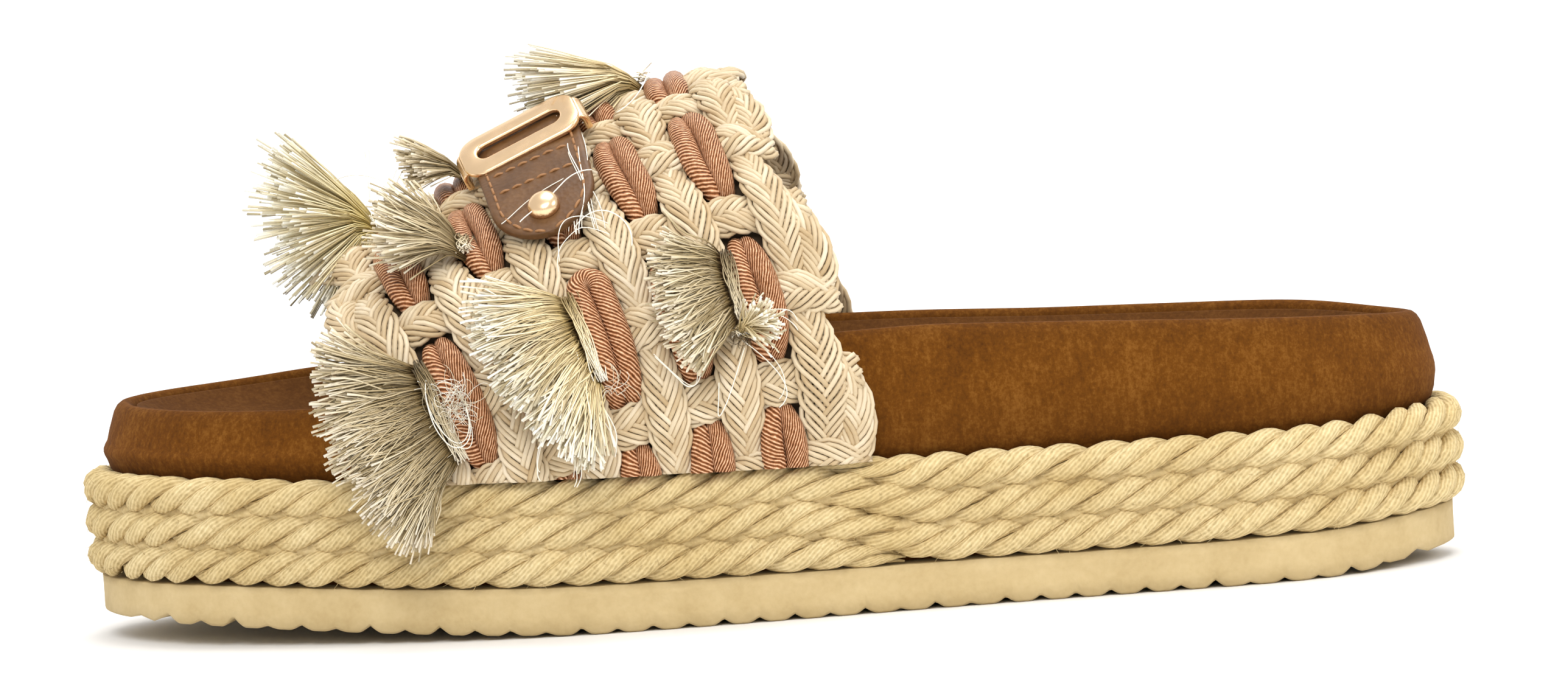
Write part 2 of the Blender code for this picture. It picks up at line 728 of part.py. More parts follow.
def build_plate():
    centre, toe, side, out = plate_frame()
    rim = stadium(PLATE_LENGTH, PLATE_WIDTH, 7)
    slot = stadium(PLATE_SLOT_LENGTH, PLATE_SLOT_WIDTH, 7)
    rings = []
    for outline, level in ((rim, 0.0), (rim, PLATE_THICK), (slot, PLATE_THICK), (slot, 0.0)):
        bend = -0.0085 * outline[:, 1] ** 2
        rings.append(centre + outline[:, :1] * toe + outline[:, 1:] * side + (level + bend)[:, None] * out)
    count = len(rim)
    points = np.vstack(rings)
    faces = []
    for k in range(4):
        a = k * count
        b = ((k + 1) % 4) * count
        for i in range(count):
            j = (i + 1) % count
            faces.append((a + i, a + j, b + j, b + i))
    finish_mesh("buckle_plate", points, faces, gold)


def build_rivets():
    for name, row in zip(("rivet_outer", "rivet_inner"), RIVET_ROWS):
        c = column_at_x(strap_x(row), row)
        across, along, out = wall_frame(np.array(c), np.array(row))
        centre = on_wall(np.array(c), np.array(row), np.array(LEATHER_LIFT + LEATHER_THICK + GAP))
        second = np.cross(out, across)
        levels = ((1.0, 0.0), (1.0, 0.35), (0.82, 0.72), (0.45, 0.95))
        count = 14
        angle = np.linspace(0, 2 * np.pi, count, endpoint=False)
        points = []
        for share, up in levels:
            for a in angle:
                points.append(centre + RIVET_RADIUS * share * (math.cos(a) * across + math.sin(a) * second)
                              + RIVET_HEIGHT * up * out)
        points.append(centre + RIVET_HEIGHT * out)
        faces = [list(range(count))[::-1]]
        for k in range(len(levels) - 1):
            for i in range(count):
                j = (i + 1) % count
                faces.append((k * count + i, k * count + j, (k + 1) * count + j, (k + 1) * count + i))
        for i in range(count):
            j = (i + 1) % count
            faces.append(((len(levels) - 1) * count + i, (len(levels) - 1) * count + j, len(points) - 1))
        finish_mesh(name, points, faces, gold)


# Fringes: column and row of the root, root half width, angle of the first and last lock from the toe
# direction toward the sole, lock length, how fast the locks rise from the wall, which yarn
FRINGE_COLUMNS = ("name", "column", "row", "root_half", "first", "last", "length", "rise", "yarn")
FRINGES = (
    ("fringe_toe_outer", 5.36, -4.35, 9.0, -36.0, 46.0, 21.0, 0.10, "grey"),
    ("fringe_middle_outer", 3.38, -4.20, 8.0, -14.0, 62.0, 19.0, 0.16, "pale"),
    ("fringe_heel_outer", 1.42, -4.30, 7.5, -34.0, 38.0, 17.0, 0.08, "grey"),
    ("fringe_front_low", 4.45, -2.55, 3.0, -76.0, -34.0, 23.0, 0.10, "grey"),
    ("fringe_front_top", 5.45, -0.75, 4.5, -45.0, 35.0, 22.0, 0.10, "pale"),
    ("fringe_crown", 1.40, 0.15, 4.0, -18.0, 18.0, 23.0, 0.34, "pale"),
    ("fringe_toe_inner", 5.36, 3.60, 8.0, -30.0, 64.0, 21.0, 0.12, "grey"),
    ("fringe_middle_inner", 3.34, 3.68, 8.0, 8.0, 76.0, 20.0, 0.14, "pale"),
    ("fringe_heel_inner", 1.42, 3.60, 7.5, -25.0, 50.0, 19.0, 0.08, "grey"),
)
FRINGE_LOCKS = 5
FRINGE_SEAT = 0.4
FRINGE_PROBE = 16.0
FRINGE_BODY_COLUMNS = ("share_of_length", "thick", "lock_ridge")
FRINGE_BODY = (
    (0.0, 2.0, 0.0),
    (0.12, 2.2, 0.3),
    (0.45, 2.6, 0.5),
    (1.0, 1.0, 0.3),
)


def surface_tree():
    # Search tree over everything that is already built
    points = []
    faces = []
    for item in bpy.context.scene.objects:
        start = len(points)
        points += [v.co / MM for v in item.data.vertices]
        faces += [[start + i for i in p.vertices] for p in item.data.polygons]
    return BVHTree.FromPolygons(points, faces)


def build_fringes():
    for row_data in FRINGES:
        tree = surface_tree()
        item = dict(zip(FRINGE_COLUMNS, row_data))
        c = np.array(item["column"])
        row = np.array(item["row"])
        across, along, out = wall_frame(c, row)
        toe = across / np.linalg.norm(across)
        down = along if item["row"] > 0 else -along
        down = down - toe * np.dot(down, toe)
        down = down / np.linalg.norm(down)
        centre = wall_at(c, row)
        count = 2 * FRINGE_LOCKS + 1
        share = np.linspace(0.0, 1.0, count)
        angle = np.radians(item["first"] + (item["last"] - item["first"]) * share)
        reach = np.where(np.arange(count) % 2 == 1, 1.0, 0.8)
        reach = reach * (1.0 + 0.05 * np.sin(5.0 * share * np.pi + item["column"]))
        ray = np.cos(angle)[:, None] * toe + np.sin(angle)[:, None] * down
        root = centre + ((share - 0.5) * 2.0 * item["root_half"])[:, None] * down
        low_points = []
        high_points = []
        fine = np.linspace(0.0, 1.0, 21)
        under = np.full((len(fine), count), -99.0)
        for i, go in enumerate(fine):
            for k in range(count):
                spot = root[k] + ray[k] * item["length"] * go + out * FRINGE_PROBE
                hit = tree.ray_cast(Vector(spot), Vector(-out), 2 * FRINGE_PROBE)
                if hit[0] is not None:
                    under[i, k] = FRINGE_PROBE - hit[3]
        spread = np.pad(under, ((0, 0), (1, 1)), mode="edge")
        under = np.maximum(np.maximum(spread[:, :-2], spread[:, 1:-1]), spread[:, 2:])
        base = float(np.mean(under[0])) + FRINGE_SEAT
        for go, thick, ridge in FRINGE_BODY:
            full = item["length"] * go * (reach if go > 0.9 else np.ones(count))
            flat = root + ray * full[:, None]
            if go == 0.0:
                lift = under[:1].max(0) + FRINGE_SEAT
            elif go < 0.9:
                passed = (fine > 0.01) & (fine < 0.65)
                lift = np.maximum(under[passed].max(0) + FRINGE_SEAT, base + item["rise"] * full)
            else:
                lift = np.maximum(under[fine > 0.4].max(0) + FRINGE_SEAT, base + item["rise"] * full)
            top = lift + thick + ridge * (np.arange(count) % 2)
            low_points.append(flat + lift[:, None] * out)
            high_points.append(flat + top[:, None] * out)
        points = np.vstack(low_points + high_points)
        m = len(FRINGE_BODY)
        half = m * count
        faces = []
        for i in range(m - 1):
            for j in range(count - 1):
                a = i * count + j
                faces.append((a, a + 1, a + count + 1, a + count))
                faces.append((half + a, half + a + count, half + a + count + 1, half + a + 1))
        for i in range(m - 1):
            a = i * count
            faces.append((a, a + count, half + a + count, half + a))
            a = i * count + count - 1
            faces.append((a + count, a, half + a, half + a + count))
        for j in range(count - 1):
            a = j
            faces.append((a + 1, a, half + a, half + a + 1))
            a = (m - 1) * count + j
            faces.append((a, a + 1, half + a + 1, half + a))
        finish_mesh(item["name"], points, faces, pale_fringe if item["yarn"] == "pale" else grey_fringe)


build_outsole()
build_footbed()
build_insole()
build_rope()
build_upper()
build_cords()
build_buckle_strap()
build_plate()
build_rivets()
build_fringes()
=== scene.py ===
import bpy
import bmesh
import math
import numpy as np
from mathutils import Matrix, Vector


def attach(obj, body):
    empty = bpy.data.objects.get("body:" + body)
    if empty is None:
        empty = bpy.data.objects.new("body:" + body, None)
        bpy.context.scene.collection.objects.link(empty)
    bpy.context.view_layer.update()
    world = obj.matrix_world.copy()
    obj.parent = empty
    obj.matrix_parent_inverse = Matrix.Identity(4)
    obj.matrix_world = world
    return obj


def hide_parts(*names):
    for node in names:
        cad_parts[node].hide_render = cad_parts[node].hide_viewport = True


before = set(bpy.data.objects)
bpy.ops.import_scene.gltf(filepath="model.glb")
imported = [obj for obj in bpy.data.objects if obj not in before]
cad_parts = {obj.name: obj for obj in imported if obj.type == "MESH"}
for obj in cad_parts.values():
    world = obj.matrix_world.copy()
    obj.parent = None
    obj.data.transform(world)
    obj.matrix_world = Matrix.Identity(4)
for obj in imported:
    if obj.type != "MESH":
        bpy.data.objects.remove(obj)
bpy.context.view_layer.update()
mm = 0.001
gap = 0.3

# The camera comes first. It stands where the photograph was taken from, and three directions give its turn.
cameraPlace = {
    "elevation": 3.8, "roll": 3.6, "distance": 1.0, "target": (0.0038, 0.0, 0.0478),
    "lens": 118.26, "sensor": 36.0,
}


def makeCamera(place):
    lift = math.radians(place["elevation"])
    roll = math.radians(place["roll"])
    back = np.array([0.0, -math.cos(lift), math.sin(lift)])
    right = np.array([1.0, 0.0, 0.0])
    up = np.cross(back, right)
    across = right * math.cos(roll) - up * math.sin(roll)
    upward = up * math.cos(roll) + right * math.sin(roll)
    spot = np.array(place["target"]) + back * place["distance"]
    data = bpy.data.cameras.new("photoCamera")
    data.lens = place["lens"]
    data.sensor_width = place["sensor"]
    data.clip_end = 20.0
    camera = bpy.data.objects.new("photoCamera", data)
    bpy.context.scene.collection.objects.link(camera)
    turned = Matrix([list(row) for row in np.stack([across, upward, back], 1)]).to_4x4()
    camera.matrix_world = Matrix.Translation([float(v) for v in spot]) @ turned
    bpy.context.scene.camera = camera


makeCamera(cameraPlace)
# Plain sRGB, so that a colour in the tables shows as it is
bpy.context.scene.view_settings.view_transform = "Standard"


# Small helpers for nodes, meshes and swept shapes
def toLinear(hexColour):
    # sRGB hex to linear light
    parts = [int(hexColour[i:i + 2], 16) / 255.0 for i in (1, 3, 5)]
    return tuple(p / 12.92 if p <= 0.04045 else ((p + 0.055) / 1.055) ** 2.4 for p in parts) + (1.0,)


def addNode(tree, kind, settings=None, links=None):
    # One node; a setting that is a socket's name or number fills that socket, any other is the node's own
    node = tree.nodes.new(kind)
    for name, value in (settings or {}).items():
        if isinstance(name, int) or name in node.inputs:
            node.inputs[name].default_value = value
        else:
            setattr(node, name, value)
    for name, source in (links or {}).items():
        tree.links.new(source, node.inputs[name])
    return node


def newMaterial(name, sockets):
    material = bpy.data.materials.new(name)
    material.use_nodes = True
    tree = material.node_tree
    shader = tree.nodes["Principled BSDF"]
    for socket, value in sockets.items():
        shader.inputs[socket].default_value = value
    if "Base Color" in sockets:
        material.diffuse_color = sockets["Base Color"]
    return material, tree, shader


def addRamp(tree, source, stops):
    # Colour ramp through (place, hex) stops
    ramp = addNode(tree, "ShaderNodeValToRGB", None, {0: source})
    band = ramp.color_ramp
    while len(band.elements) < len(stops):
        band.elements.new(0.5)
    for element, (place, colour) in zip(band.elements, stops):
        element.position = place
        element.color = toLinear(colour)
    return ramp.outputs[0]


def addNoise(tree, vector, sizeMm, detail, roughness=0.5):
    # Noise whose patches are about sizeMm wide; Object coordinates are metres
    settings = {"Scale": 1000.0 / sizeMm, "Detail": detail, "Roughness": roughness}
    return addNode(tree, "ShaderNodeTexNoise", settings, {"Vector": vector}).outputs["Fac"]


def addMath(tree, operation, *values):
    # One sum; each value is a number or a socket
    node = addNode(tree, "ShaderNodeMath", {"operation": operation})
    for place, value in enumerate(values):
        if isinstance(value, (int, float)):
            node.inputs[place].default_value = value
        else:
            tree.links.new(value, node.inputs[place])
    return node.outputs[0]


def addSum(tree, *parts):
    # Sum of (share, socket) pairs, each socket times its share
    total = addMath(tree, "MULTIPLY", parts[0][1], parts[0][0])
    for share, source in parts[1:]:
        total = addMath(tree, "ADD", total, addMath(tree, "MULTIPLY", source, share))
    return total


def addWave(tree, turns):
    # A wave from 0 to 1 that repeats once a turn
    angle = addMath(tree, "MULTIPLY", turns, 2.0 * math.pi)
    return addMath(tree, "MULTIPLY_ADD", addMath(tree, "SINE", angle), 0.5, 0.5)


def objectPlace(tree):
    # The place on the shoe in metres
    return addNode(tree, "ShaderNodeTexCoord").outputs["Object"]


def pieceNumbers(tree):
    # The two numbers of the piece's own map
    mapped = addNode(tree, "ShaderNodeUVMap", {"uv_map": "pieceMap"}).outputs[0]
    return addNode(tree, "ShaderNodeSeparateXYZ", None, {0: mapped}).outputs


def multiplyColours(tree, first, second):
    settings = {"data_type": "RGBA", "blend_type": "MULTIPLY", 0: 1.0}
    return addNode(tree, "ShaderNodeMix", settings, {6: first, 7: second}).outputs[2]


def paint(tree, shader, colour):
    tree.links.new(colour, shader.inputs["Base Color"])


def addBump(tree, shader, height, heightMm, strength):
    settings = {"Strength": strength, "Distance": heightMm * mm}
    bump = addNode(tree, "ShaderNodeBump", settings, {"Height": height})
    tree.links.new(bump.outputs[0], shader.inputs["Normal"])


def unit(v):
    return v / np.maximum(np.linalg.norm(v, axis=-1, keepdims=True), 1e-9)


def soft(t):
    # Smooth step from 0 to 1
    t = np.clip(t, 0.0, 1.0)
    return t * t * (3.0 - 2.0 * t)


def smoothTable(places, values, at, blur):
    # Table values read along a line and rounded off by a running mean of the given width
    reach = np.linspace(-1.0, 1.0, 17) * blur
    return np.mean([np.interp(np.asarray(at) + r, places, values) for r in reach], axis=0)


def walkedLength(points):
    # How far each point lies along its line, from 0
    return np.concatenate([[0.0], np.cumsum(np.linalg.norm(np.diff(points, axis=0), axis=-1))])


def gridFaces(rows, columns, closed):
    # Quads of a grid stored row by row; closed joins the last column to the first
    i, j = np.meshgrid(np.arange(rows - 1), np.arange(columns if closed else columns - 1), indexing="ij")
    k = (j + 1) % columns
    quads = np.stack([i * columns + j, i * columns + k, (i + 1) * columns + k, (i + 1) * columns + j], -1)
    return quads.reshape(-1, 4)


def signedVolume(points, quads):
    a, b, c, d = (points[quads[:, n]] for n in range(4))
    return float(np.sum(a * np.cross(b, c)) + np.sum(a * np.cross(c, d)))


def loft(rings, uv=None):
    # Rings of points one after the other, each closed on itself; the first and last are capped. Points are
    # rings[v][u], so the shape is a function of the way round (u) and the way along (v).
    rings = np.asarray(rings, float)
    m, n = rings.shape[:2]
    points = rings.reshape(-1, 3)
    quads = gridFaces(m, n, True)
    caps = np.stack([np.arange(n)[::-1], (m - 1) * n + np.arange(n)])
    if signedVolume(points, quads) < 0:
        quads = quads[:, ::-1]
        caps = caps[:, ::-1]
    if uv is None:
        u, v = np.meshgrid(np.arange(n) / n, np.arange(m) / m)
        uv = np.stack([u, v], -1)
    flat = np.asarray(uv, float).reshape(-1, 2)
    return [points, [quads, caps], [flat[quads], flat[caps]]]


def sweep(lines, radii, faceOut, sides, phase=0.0, around=0.0):
    # Round tubes along many lines at once. lines is (tube, station, 3), radii (tube, station), and faceOut is
    # the direction that the angle starts from: line + radius * (cos(angle) * up + sin(angle) * side).
    # The map holds (phase + around * angle / turn, share of the way along).
    lines = np.asarray(lines, float)
    t, m = lines.shape[:2]
    ahead = unit(np.gradient(lines, axis=1))
    side = unit(np.cross(ahead, np.broadcast_to(faceOut, lines.shape)))
    up = np.cross(side, ahead)
    angle = (2.0 * np.pi * np.arange(sides) / sides)[None, None, :, None]
    reach = np.broadcast_to(radii, (t, m))[:, :, None, None]
    rings = lines[:, :, None] + reach * np.cos(angle) * up[:, :, None]
    rings = rings + reach * np.sin(angle) * side[:, :, None]
    start = (np.arange(t) * m * sides)[:, None, None]
    quads = (gridFaces(m, sides, True)[None] + start).reshape(-1, 4)
    ends = np.stack([np.arange(sides)[::-1], (m - 1) * sides + np.arange(sides)])
    caps = (ends[None] + start).reshape(-1, sides)
    count = np.broadcast_to(phase, (t, m))[:, :, None] + around * np.arange(sides + 1) / sides
    share = np.broadcast_to(np.linspace(0.0, 1.0, m)[None, :, None], count.shape)
    corner = np.stack([count, share], -1)
    uv = np.stack([corner[:, :-1, :-1], corner[:, :-1, 1:], corner[:, 1:, 1:], corner[:, 1:, :-1]], -2)
    flat = corner[:, :, :-1].reshape(-1, 2)
    return [rings.reshape(-1, 3), [quads, caps], [uv.reshape(-1, 4, 2), flat[caps]]]


def makePiece(name, parts, material, nodes=(), cutLow=False):
    # One object from several parts, its place in its mesh. It rides on the body and stands for CAD nodes.
    offset = 0
    points, corners, sizes, uvs = [], [], [], []
    for part in parts:
        points.append(part[0])
        for faces, uv in zip(part[1], part[2]):
            corners.append((faces + offset).ravel())
            sizes.append(np.full(len(faces), faces.shape[1]))
            uvs.append(uv.reshape(-1, 2))
        offset += len(part[0])
    points = np.vstack(points) * mm
    corners = np.concatenate(corners)
    sizes = np.concatenate(sizes)
    starts = np.concatenate([[0], np.cumsum(sizes)[:-1]])
    mesh = bpy.data.meshes.new(name)
    mesh.vertices.add(len(points))
    mesh.vertices.foreach_set("co", points.astype(np.float32).ravel())
    mesh.loops.add(len(corners))
    mesh.loops.foreach_set("vertex_index", corners.astype(np.int32))
    mesh.polygons.add(len(sizes))
    mesh.polygons.foreach_set("loop_start", starts.astype(np.int32))
    mesh.update(calc_edges=True)
    layer = mesh.uv_layers.new(name="pieceMap")
    layer.data.foreach_set("uv", np.vstack(uvs).astype(np.float32).ravel())
    mesh.validate()
    if cutLow:
        cutAtRope(mesh)
    mesh.polygons.foreach_set("use_smooth", np.ones(len(mesh.polygons), bool))
    mesh.materials.append(material)
    piece = bpy.data.objects.new(name, mesh)
    bpy.context.scene.collection.objects.link(piece)
    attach(piece, "root")
    if nodes:
        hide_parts(*nodes)
    mesh.calc_loop_triangles()
    print("made", name, len(mesh.loop_triangles), "triangles")
    return piece


def cutAtRope(mesh):
    # The weave ends at a sloping plane just over the rope, and each open end is filled
    slope = (weave["cutFront"] - weave["cutRear"]) / (weave["baseFrontX"] - weave["baseRearX"])
    body = bmesh.new()
    body.from_mesh(mesh)
    everything = body.verts[:] + body.edges[:] + body.faces[:]
    spot = (weave["baseRearX"] * mm, 0.0, weave["cutRear"] * mm)
    bmesh.ops.bisect_plane(body, geom=everything, plane_co=spot,
                           plane_no=(-slope, 0.0, 1.0), dist=1e-7, clear_inner=True)
    rim = [e for e in body.edges if e.is_boundary]
    if rim:
        bmesh.ops.holes_fill(body, edges=rim, sides=0)
    body.to_mesh(mesh)
    body.free()


# The plan of the footbed: share of the length, outer side and inner side, in millimetres
plan = {
    "length": 258.0, "toeTipY": 4.0, "heelTipY": -1.0,
    "rows": ((0.045, 20.0, 27.0), (0.130, 34.0, 39.5), (0.260, 44.5, 45.5), (0.380, 46.5, 42.5),
             (0.520, 42.5, 34.5), (0.660, 37.5, 31.5), (0.800, 34.5, 32.0), (0.920, 27.0, 25.5)),
}
# Heights: x, tread, outsole top, rim on the outer side, rim on the inner side, insole
heightNames = ("x", "tread", "outsole", "rimOuter", "rimInner", "insole")
heightTable = np.array((
    (-136.0, 5.6, 12.3, 45.4, 45.6, 41.6), (-122.0, 4.7, 12.1, 44.8, 45.9, 40.6),
    (-107.0, 4.1, 11.8, 44.3, 46.3, 39.8), (-91.0, 3.1, 11.1, 44.1, 47.6, 39.2),
    (-76.0, 2.2, 10.4, 44.4, 48.4, 38.9), (-54.0, 0.9, 9.6, 46.2, 49.4, 39.4),
    (-40.0, 0.2, 9.2, 47.8, 50.4, 40.6), (-34.0, 0.0, 9.1, 48.6, 50.8, 41.2),
    (0.0, 0.0, 8.8, 52.4, 52.4, 44.8), (30.0, 0.0, 8.7, 53.0, 52.0, 44.6),
    (57.0, 0.0, 8.6, 51.7, 50.8, 42.8), (80.0, 0.0, 8.6, 50.5, 50.2, 41.4),
    (104.0, 0.0, 8.9, 49.2, 49.7, 40.6), (112.0, 0.5, 9.3, 48.7, 49.2, 40.6),
    (122.0, 1.9, 10.1, 48.0, 47.8, 41.2), (136.0, 3.8, 11.2, 47.0, 47.0, 42.6),
))


def periodicCurve(points, count):
    # Closed smooth curve through the points: cubic B-spline whose control points solve the 1-4-1 system
    held = np.array(points, float)
    size = len(held)
    matrix = 4.0 * np.eye(size) + np.roll(np.eye(size), 1, 0) + np.roll(np.eye(size), -1, 0)
    control = np.linalg.solve(matrix, 6.0 * held)
    t = np.linspace(0, size, count, endpoint=False)
    k = t.astype(int)
    u = (t - k)[:, None]
    weights = ((1 - u) ** 3, 3 * u ** 3 - 6 * u ** 2 + 4, -3 * u ** 3 + 3 * u ** 2 + 3 * u + 1, u ** 3)
    return sum(w / 6.0 * control[(k + step) % size] for w, step in zip(weights, (-1, 0, 1, 2)))


def makePlanLoop():
    # From the toe tip down the outer side, round the heel and back on the inner side
    outer = [((row[0] - 0.5) * plan["length"], -row[1]) for row in plan["rows"]]
    inner = [((row[0] - 0.5) * plan["length"], row[2]) for row in reversed(plan["rows"])]
    toe = [(-0.5 * plan["length"], plan["toeTipY"])]
    heel = [(0.5 * plan["length"], plan["heelTipY"])]
    return periodicCurve(toe + outer + heel + inner, 720)


planLoop = makePlanLoop()


def offsetLoop(distance):
    # The plan moved outward by a distance
    ahead = unit(np.roll(planLoop, -1, 0) - np.roll(planLoop, 1, 0))
    outward = np.stack([ahead[:, 1], -ahead[:, 0]], 1)
    return planLoop + outward * distance


def heightAt(name, x, y=None):
    # A height along the shoe; the rim goes over from the outer side to the inner side across the shoe
    if name == "rim":
        share = 0.5 + 0.5 * np.tanh((np.asarray(y) - 1.5) / 8.0)
        return (1.0 - share) * heightAt("rimOuter", x) + share * heightAt("rimInner", x)
    return smoothTable(heightTable[:, 0], heightTable[:, heightNames.index(name)], x, 6.0)


def sideLines(distance, shares):
    # Outer and inner side of an offset plan at shares of its length
    loop = offsetLoop(distance)
    loop = np.roll(loop, -int(np.argmin(loop[:, 0])), 0)
    last = int(np.argmax(loop[:, 0]))
    outer = loop[:last + 1]
    inner = np.vstack([loop[last:], loop[:1]])[::-1]
    x = loop[0, 0] + (loop[last, 0] - loop[0, 0]) * shares
    return x, np.interp(x, outer[:, 0], outer[:, 1]), np.interp(x, inner[:, 0], inner[:, 1])


def hashNoise(a, b):
    # Repeatable rough numbers from 0 to 1
    return np.modf(np.abs(np.sin(a * 12.9898 + b * 78.233) * 43758.5453))[0]


# Crepe foam outsole, moulded and pebbled, with wavy lugs cut across its tread
outsole = {
    "out": 2.6, "lugPitch": 6.6, "lugDeep": 1.5, "lugShallow": 0.9, "lugWander": 1.1, "flatEnds": 3.0,
    "bevel": 1.2, "sideHollow": 0.5, "sections": 460, "pointsAcross": 25,
    "colours": ((0.25, "#b39b6c"), (0.5, "#c0a97b"), (0.75, "#cab487")), "patchMm": 9.0, "pebbleMm": 1.1,
}


def outsoleMaterial():
    # Expanded rubber: dull, a little open grained, without gloss
    material, tree, shader = newMaterial("moulded foam rubber", {
        "Base Color": toLinear("#d8bb88"), "Roughness": 0.78, "Specular IOR Level": 0.35})
    where = objectPlace(tree)
    pebble = addNoise(tree, where, outsole["pebbleMm"], 2.0)
    tone = addSum(tree, (0.7, addNoise(tree, where, outsole["patchMm"], 3.0)), (0.3, pebble))
    paint(tree, shader, addRamp(tree, tone, outsole["colours"]))
    addBump(tree, shader, pebble, 0.12, 0.7)
    return material


def buildOutsole():
    # Cross sections along x. The section is a rounded slab; the tread rises between the lugs by
    # depth * away ** 1.5, and a wave makes the lugs wander across the sole.
    loop = offsetLoop(outsole["out"])
    toe, heel = loop[:, 0].min(), loop[:, 0].max()
    shares = 0.5 - 0.5 * np.cos(np.pi * np.linspace(0.004, 0.996, 60))
    even = np.linspace(0.06, 0.94, outsole["sections"])
    shares = np.unique(np.concatenate([shares[shares < 0.06], even, shares[shares > 0.94]]))
    x, outer, inner = sideLines(outsole["out"], shares)
    middle = 0.5 * (outer + inner)
    half = 0.5 * (inner - outer)
    top = heightAt("outsole", x)
    edgeIn = np.minimum(outsole["bevel"], 0.3 * half)
    # Four points stand on each side wall, and the others lie across the tread between them
    spread = np.linspace(-1.0, 1.0, outsole["pointsAcross"])
    across = np.concatenate([[-1.0] * 4, spread, [1.0] * 4])
    spot = (x[:, None] + outsole["lugWander"] * np.sin(4.4 * across + 0.7)[None]) / outsole["lugPitch"]
    away = np.abs(spot - np.round(spot)) * 2.0
    depth = np.where(np.mod(np.floor(spot), 2) == 0, outsole["lugDeep"], outsole["lugShallow"])
    depth = depth * (0.55 + 0.75 * hashNoise(np.floor(spot), 3.0))
    groove = depth * np.clip((away - 0.3) / 0.7, 0.0, 1.0) ** 1.5
    flat = outsole["flatEnds"]
    ends = soft((x - toe - flat) / 6.0) * soft((heel - flat - x) / 6.0)
    z = heightAt("tread", x)[:, None] + groove * ends[:, None]
    y = np.empty_like(z)
    y[:, 4:-4] = middle[:, None] + spread[None] * (half - edgeIn)[:, None]
    hollow = np.array([0.0, outsole["sideHollow"], 0.4, 0.25])
    y[:, :4] = outer[:, None] + hollow[None]
    y[:, -4:] = inner[:, None] - hollow[::-1][None]
    wall = np.array([1.0, 0.72, 0.35, 0.0])
    for low, columns, rise in ((4, slice(0, 4), wall), (-5, slice(-4, None), wall[::-1])):
        edge = z[:, [low]] + 0.5 * edgeIn[:, None]
        z[:, columns] = edge + (top[:, None] - edge) * rise[None]
    rings = np.stack([np.broadcast_to(x[:, None], y.shape), y, z], -1)
    return makePiece("foamOutsole", [loft(rings)], outsoleMaterial(), ["outsole"])


# Footbed: cork block in brown suede with a soft rolled rim. Its nap lies in cloudy patches.
footbed = {
    "profile": ((2.4, 0.0), (2.4, 6.0), (2.4, 12.0), (2.2, 18.5), (0.4, 20.2), (-0.2, 22.0)),
    "rim": ((0.1, 7.4), (0.7, 5.2), (1.3, 3.4), (1.8, 1.9), (2.5, 0.75), (3.3, 0.15), (4.1, 0.0), (4.9, 0.35),
            (5.5, 1.1), (5.9, 2.6)),
    "floorEdge": 9.0, "underInsole": 1.2, "bulge": 0.7, "creaseDeep": 0.22,
    "colours": ((0.15, "#3e1f01"), (0.5, "#623807"), (0.85, "#86571f")),
}
insole = {
    "edgeIn": 6.15, "wallTopIn": 4.8, "floorIn": 18.0, "wallPower": 1.8, "thick": 1.5,
    "steps": (17.9, 16.2, 14.4, 12.6, 11.0, 9.6, 8.3, 7.2, 6.5),
    "colours": ((0.18, "#3f2308"), (0.5, "#53310f"), (0.85, "#68431c")),
}
# Painted shade up the wall: the suede is darker at the foot of the wall, behind the rope, and down the rim's
# inner face, and a touch lighter on the rim's crest, which is rubbed lighter by wear
suede = {
    "napMm": 0.75, "patchMm": 13.0, "strokeMm": 1.3,
    "wear": ((0.0, "#e8e8e8"), (0.30, "#ffffff"), (0.46, "#ffffff"), (0.7, "#f0f0f0"), (0.84, "#fafafa"),
             (1.0, "#d8d8d8")),
}
sampleEvery = 2


def ringLoop(distance):
    # The plan moved outward by a distance, with every second point
    return offsetLoop(distance)[::sampleEvery]


def suedeMaterial(name, colours, shadedAndWorn):
    # Buffed split leather: no gloss, a velvet sheen at the rim, clouds where the nap lies the other way
    material, tree, shader = newMaterial(name, {
        "Base Color": toLinear(colours[1][1]), "Roughness": 0.96, "Specular IOR Level": 0.15,
        "Sheen Weight": 0.07, "Sheen Roughness": 0.4, "Sheen Tint": toLinear("#b06c22")})
    where = objectPlace(tree)
    clouds = addNoise(tree, where, suede["patchMm"], 4.0, 0.62)
    nap = addNoise(tree, where, suede["napMm"], 3.0, 0.7)
    # Short brush strokes: the nap is drawn coarser than real so that it shows at this size
    strokes = addNode(tree, "ShaderNodeMapping", {"Scale": (1.0, 1.0, 0.35), "Rotation": (0.0, 0.5, 0.0)},
                      {"Vector": where}).outputs[0]
    brushed = addNoise(tree, strokes, suede["strokeMm"], 3.0, 0.7)
    mixed = addSum(tree, (0.3, clouds), (0.38, nap), (0.32, brushed))
    base = addRamp(tree, addMath(tree, "MULTIPLY_ADD", mixed, 1.6, -0.3), colours)
    if shadedAndWorn:
        # The map's second number runs up the wall; the ramp on it paints shade at the wall's foot and down
        # the rim's inner face
        base = multiplyColours(tree, base, addRamp(tree, pieceNumbers(tree)[1], suede["wear"]))
    paint(tree, shader, base)
    addBump(tree, shader, addMath(tree, "ADD", nap, brushed), 0.16, 0.6)
    return material


def creases(x, y, z):
    # Soft troughs of the suede wall: a few slow waves that lean with the wall
    slow = np.sin(0.115 * x + 0.06 * z + 1.3) * np.sin(0.043 * x - 0.11 * z)
    slow = slow + 0.5 * np.sin(0.21 * x - 0.18 * z + 2.0)
    return footbed["creaseDeep"] * slow * np.sin(0.02 * y + 1.0)


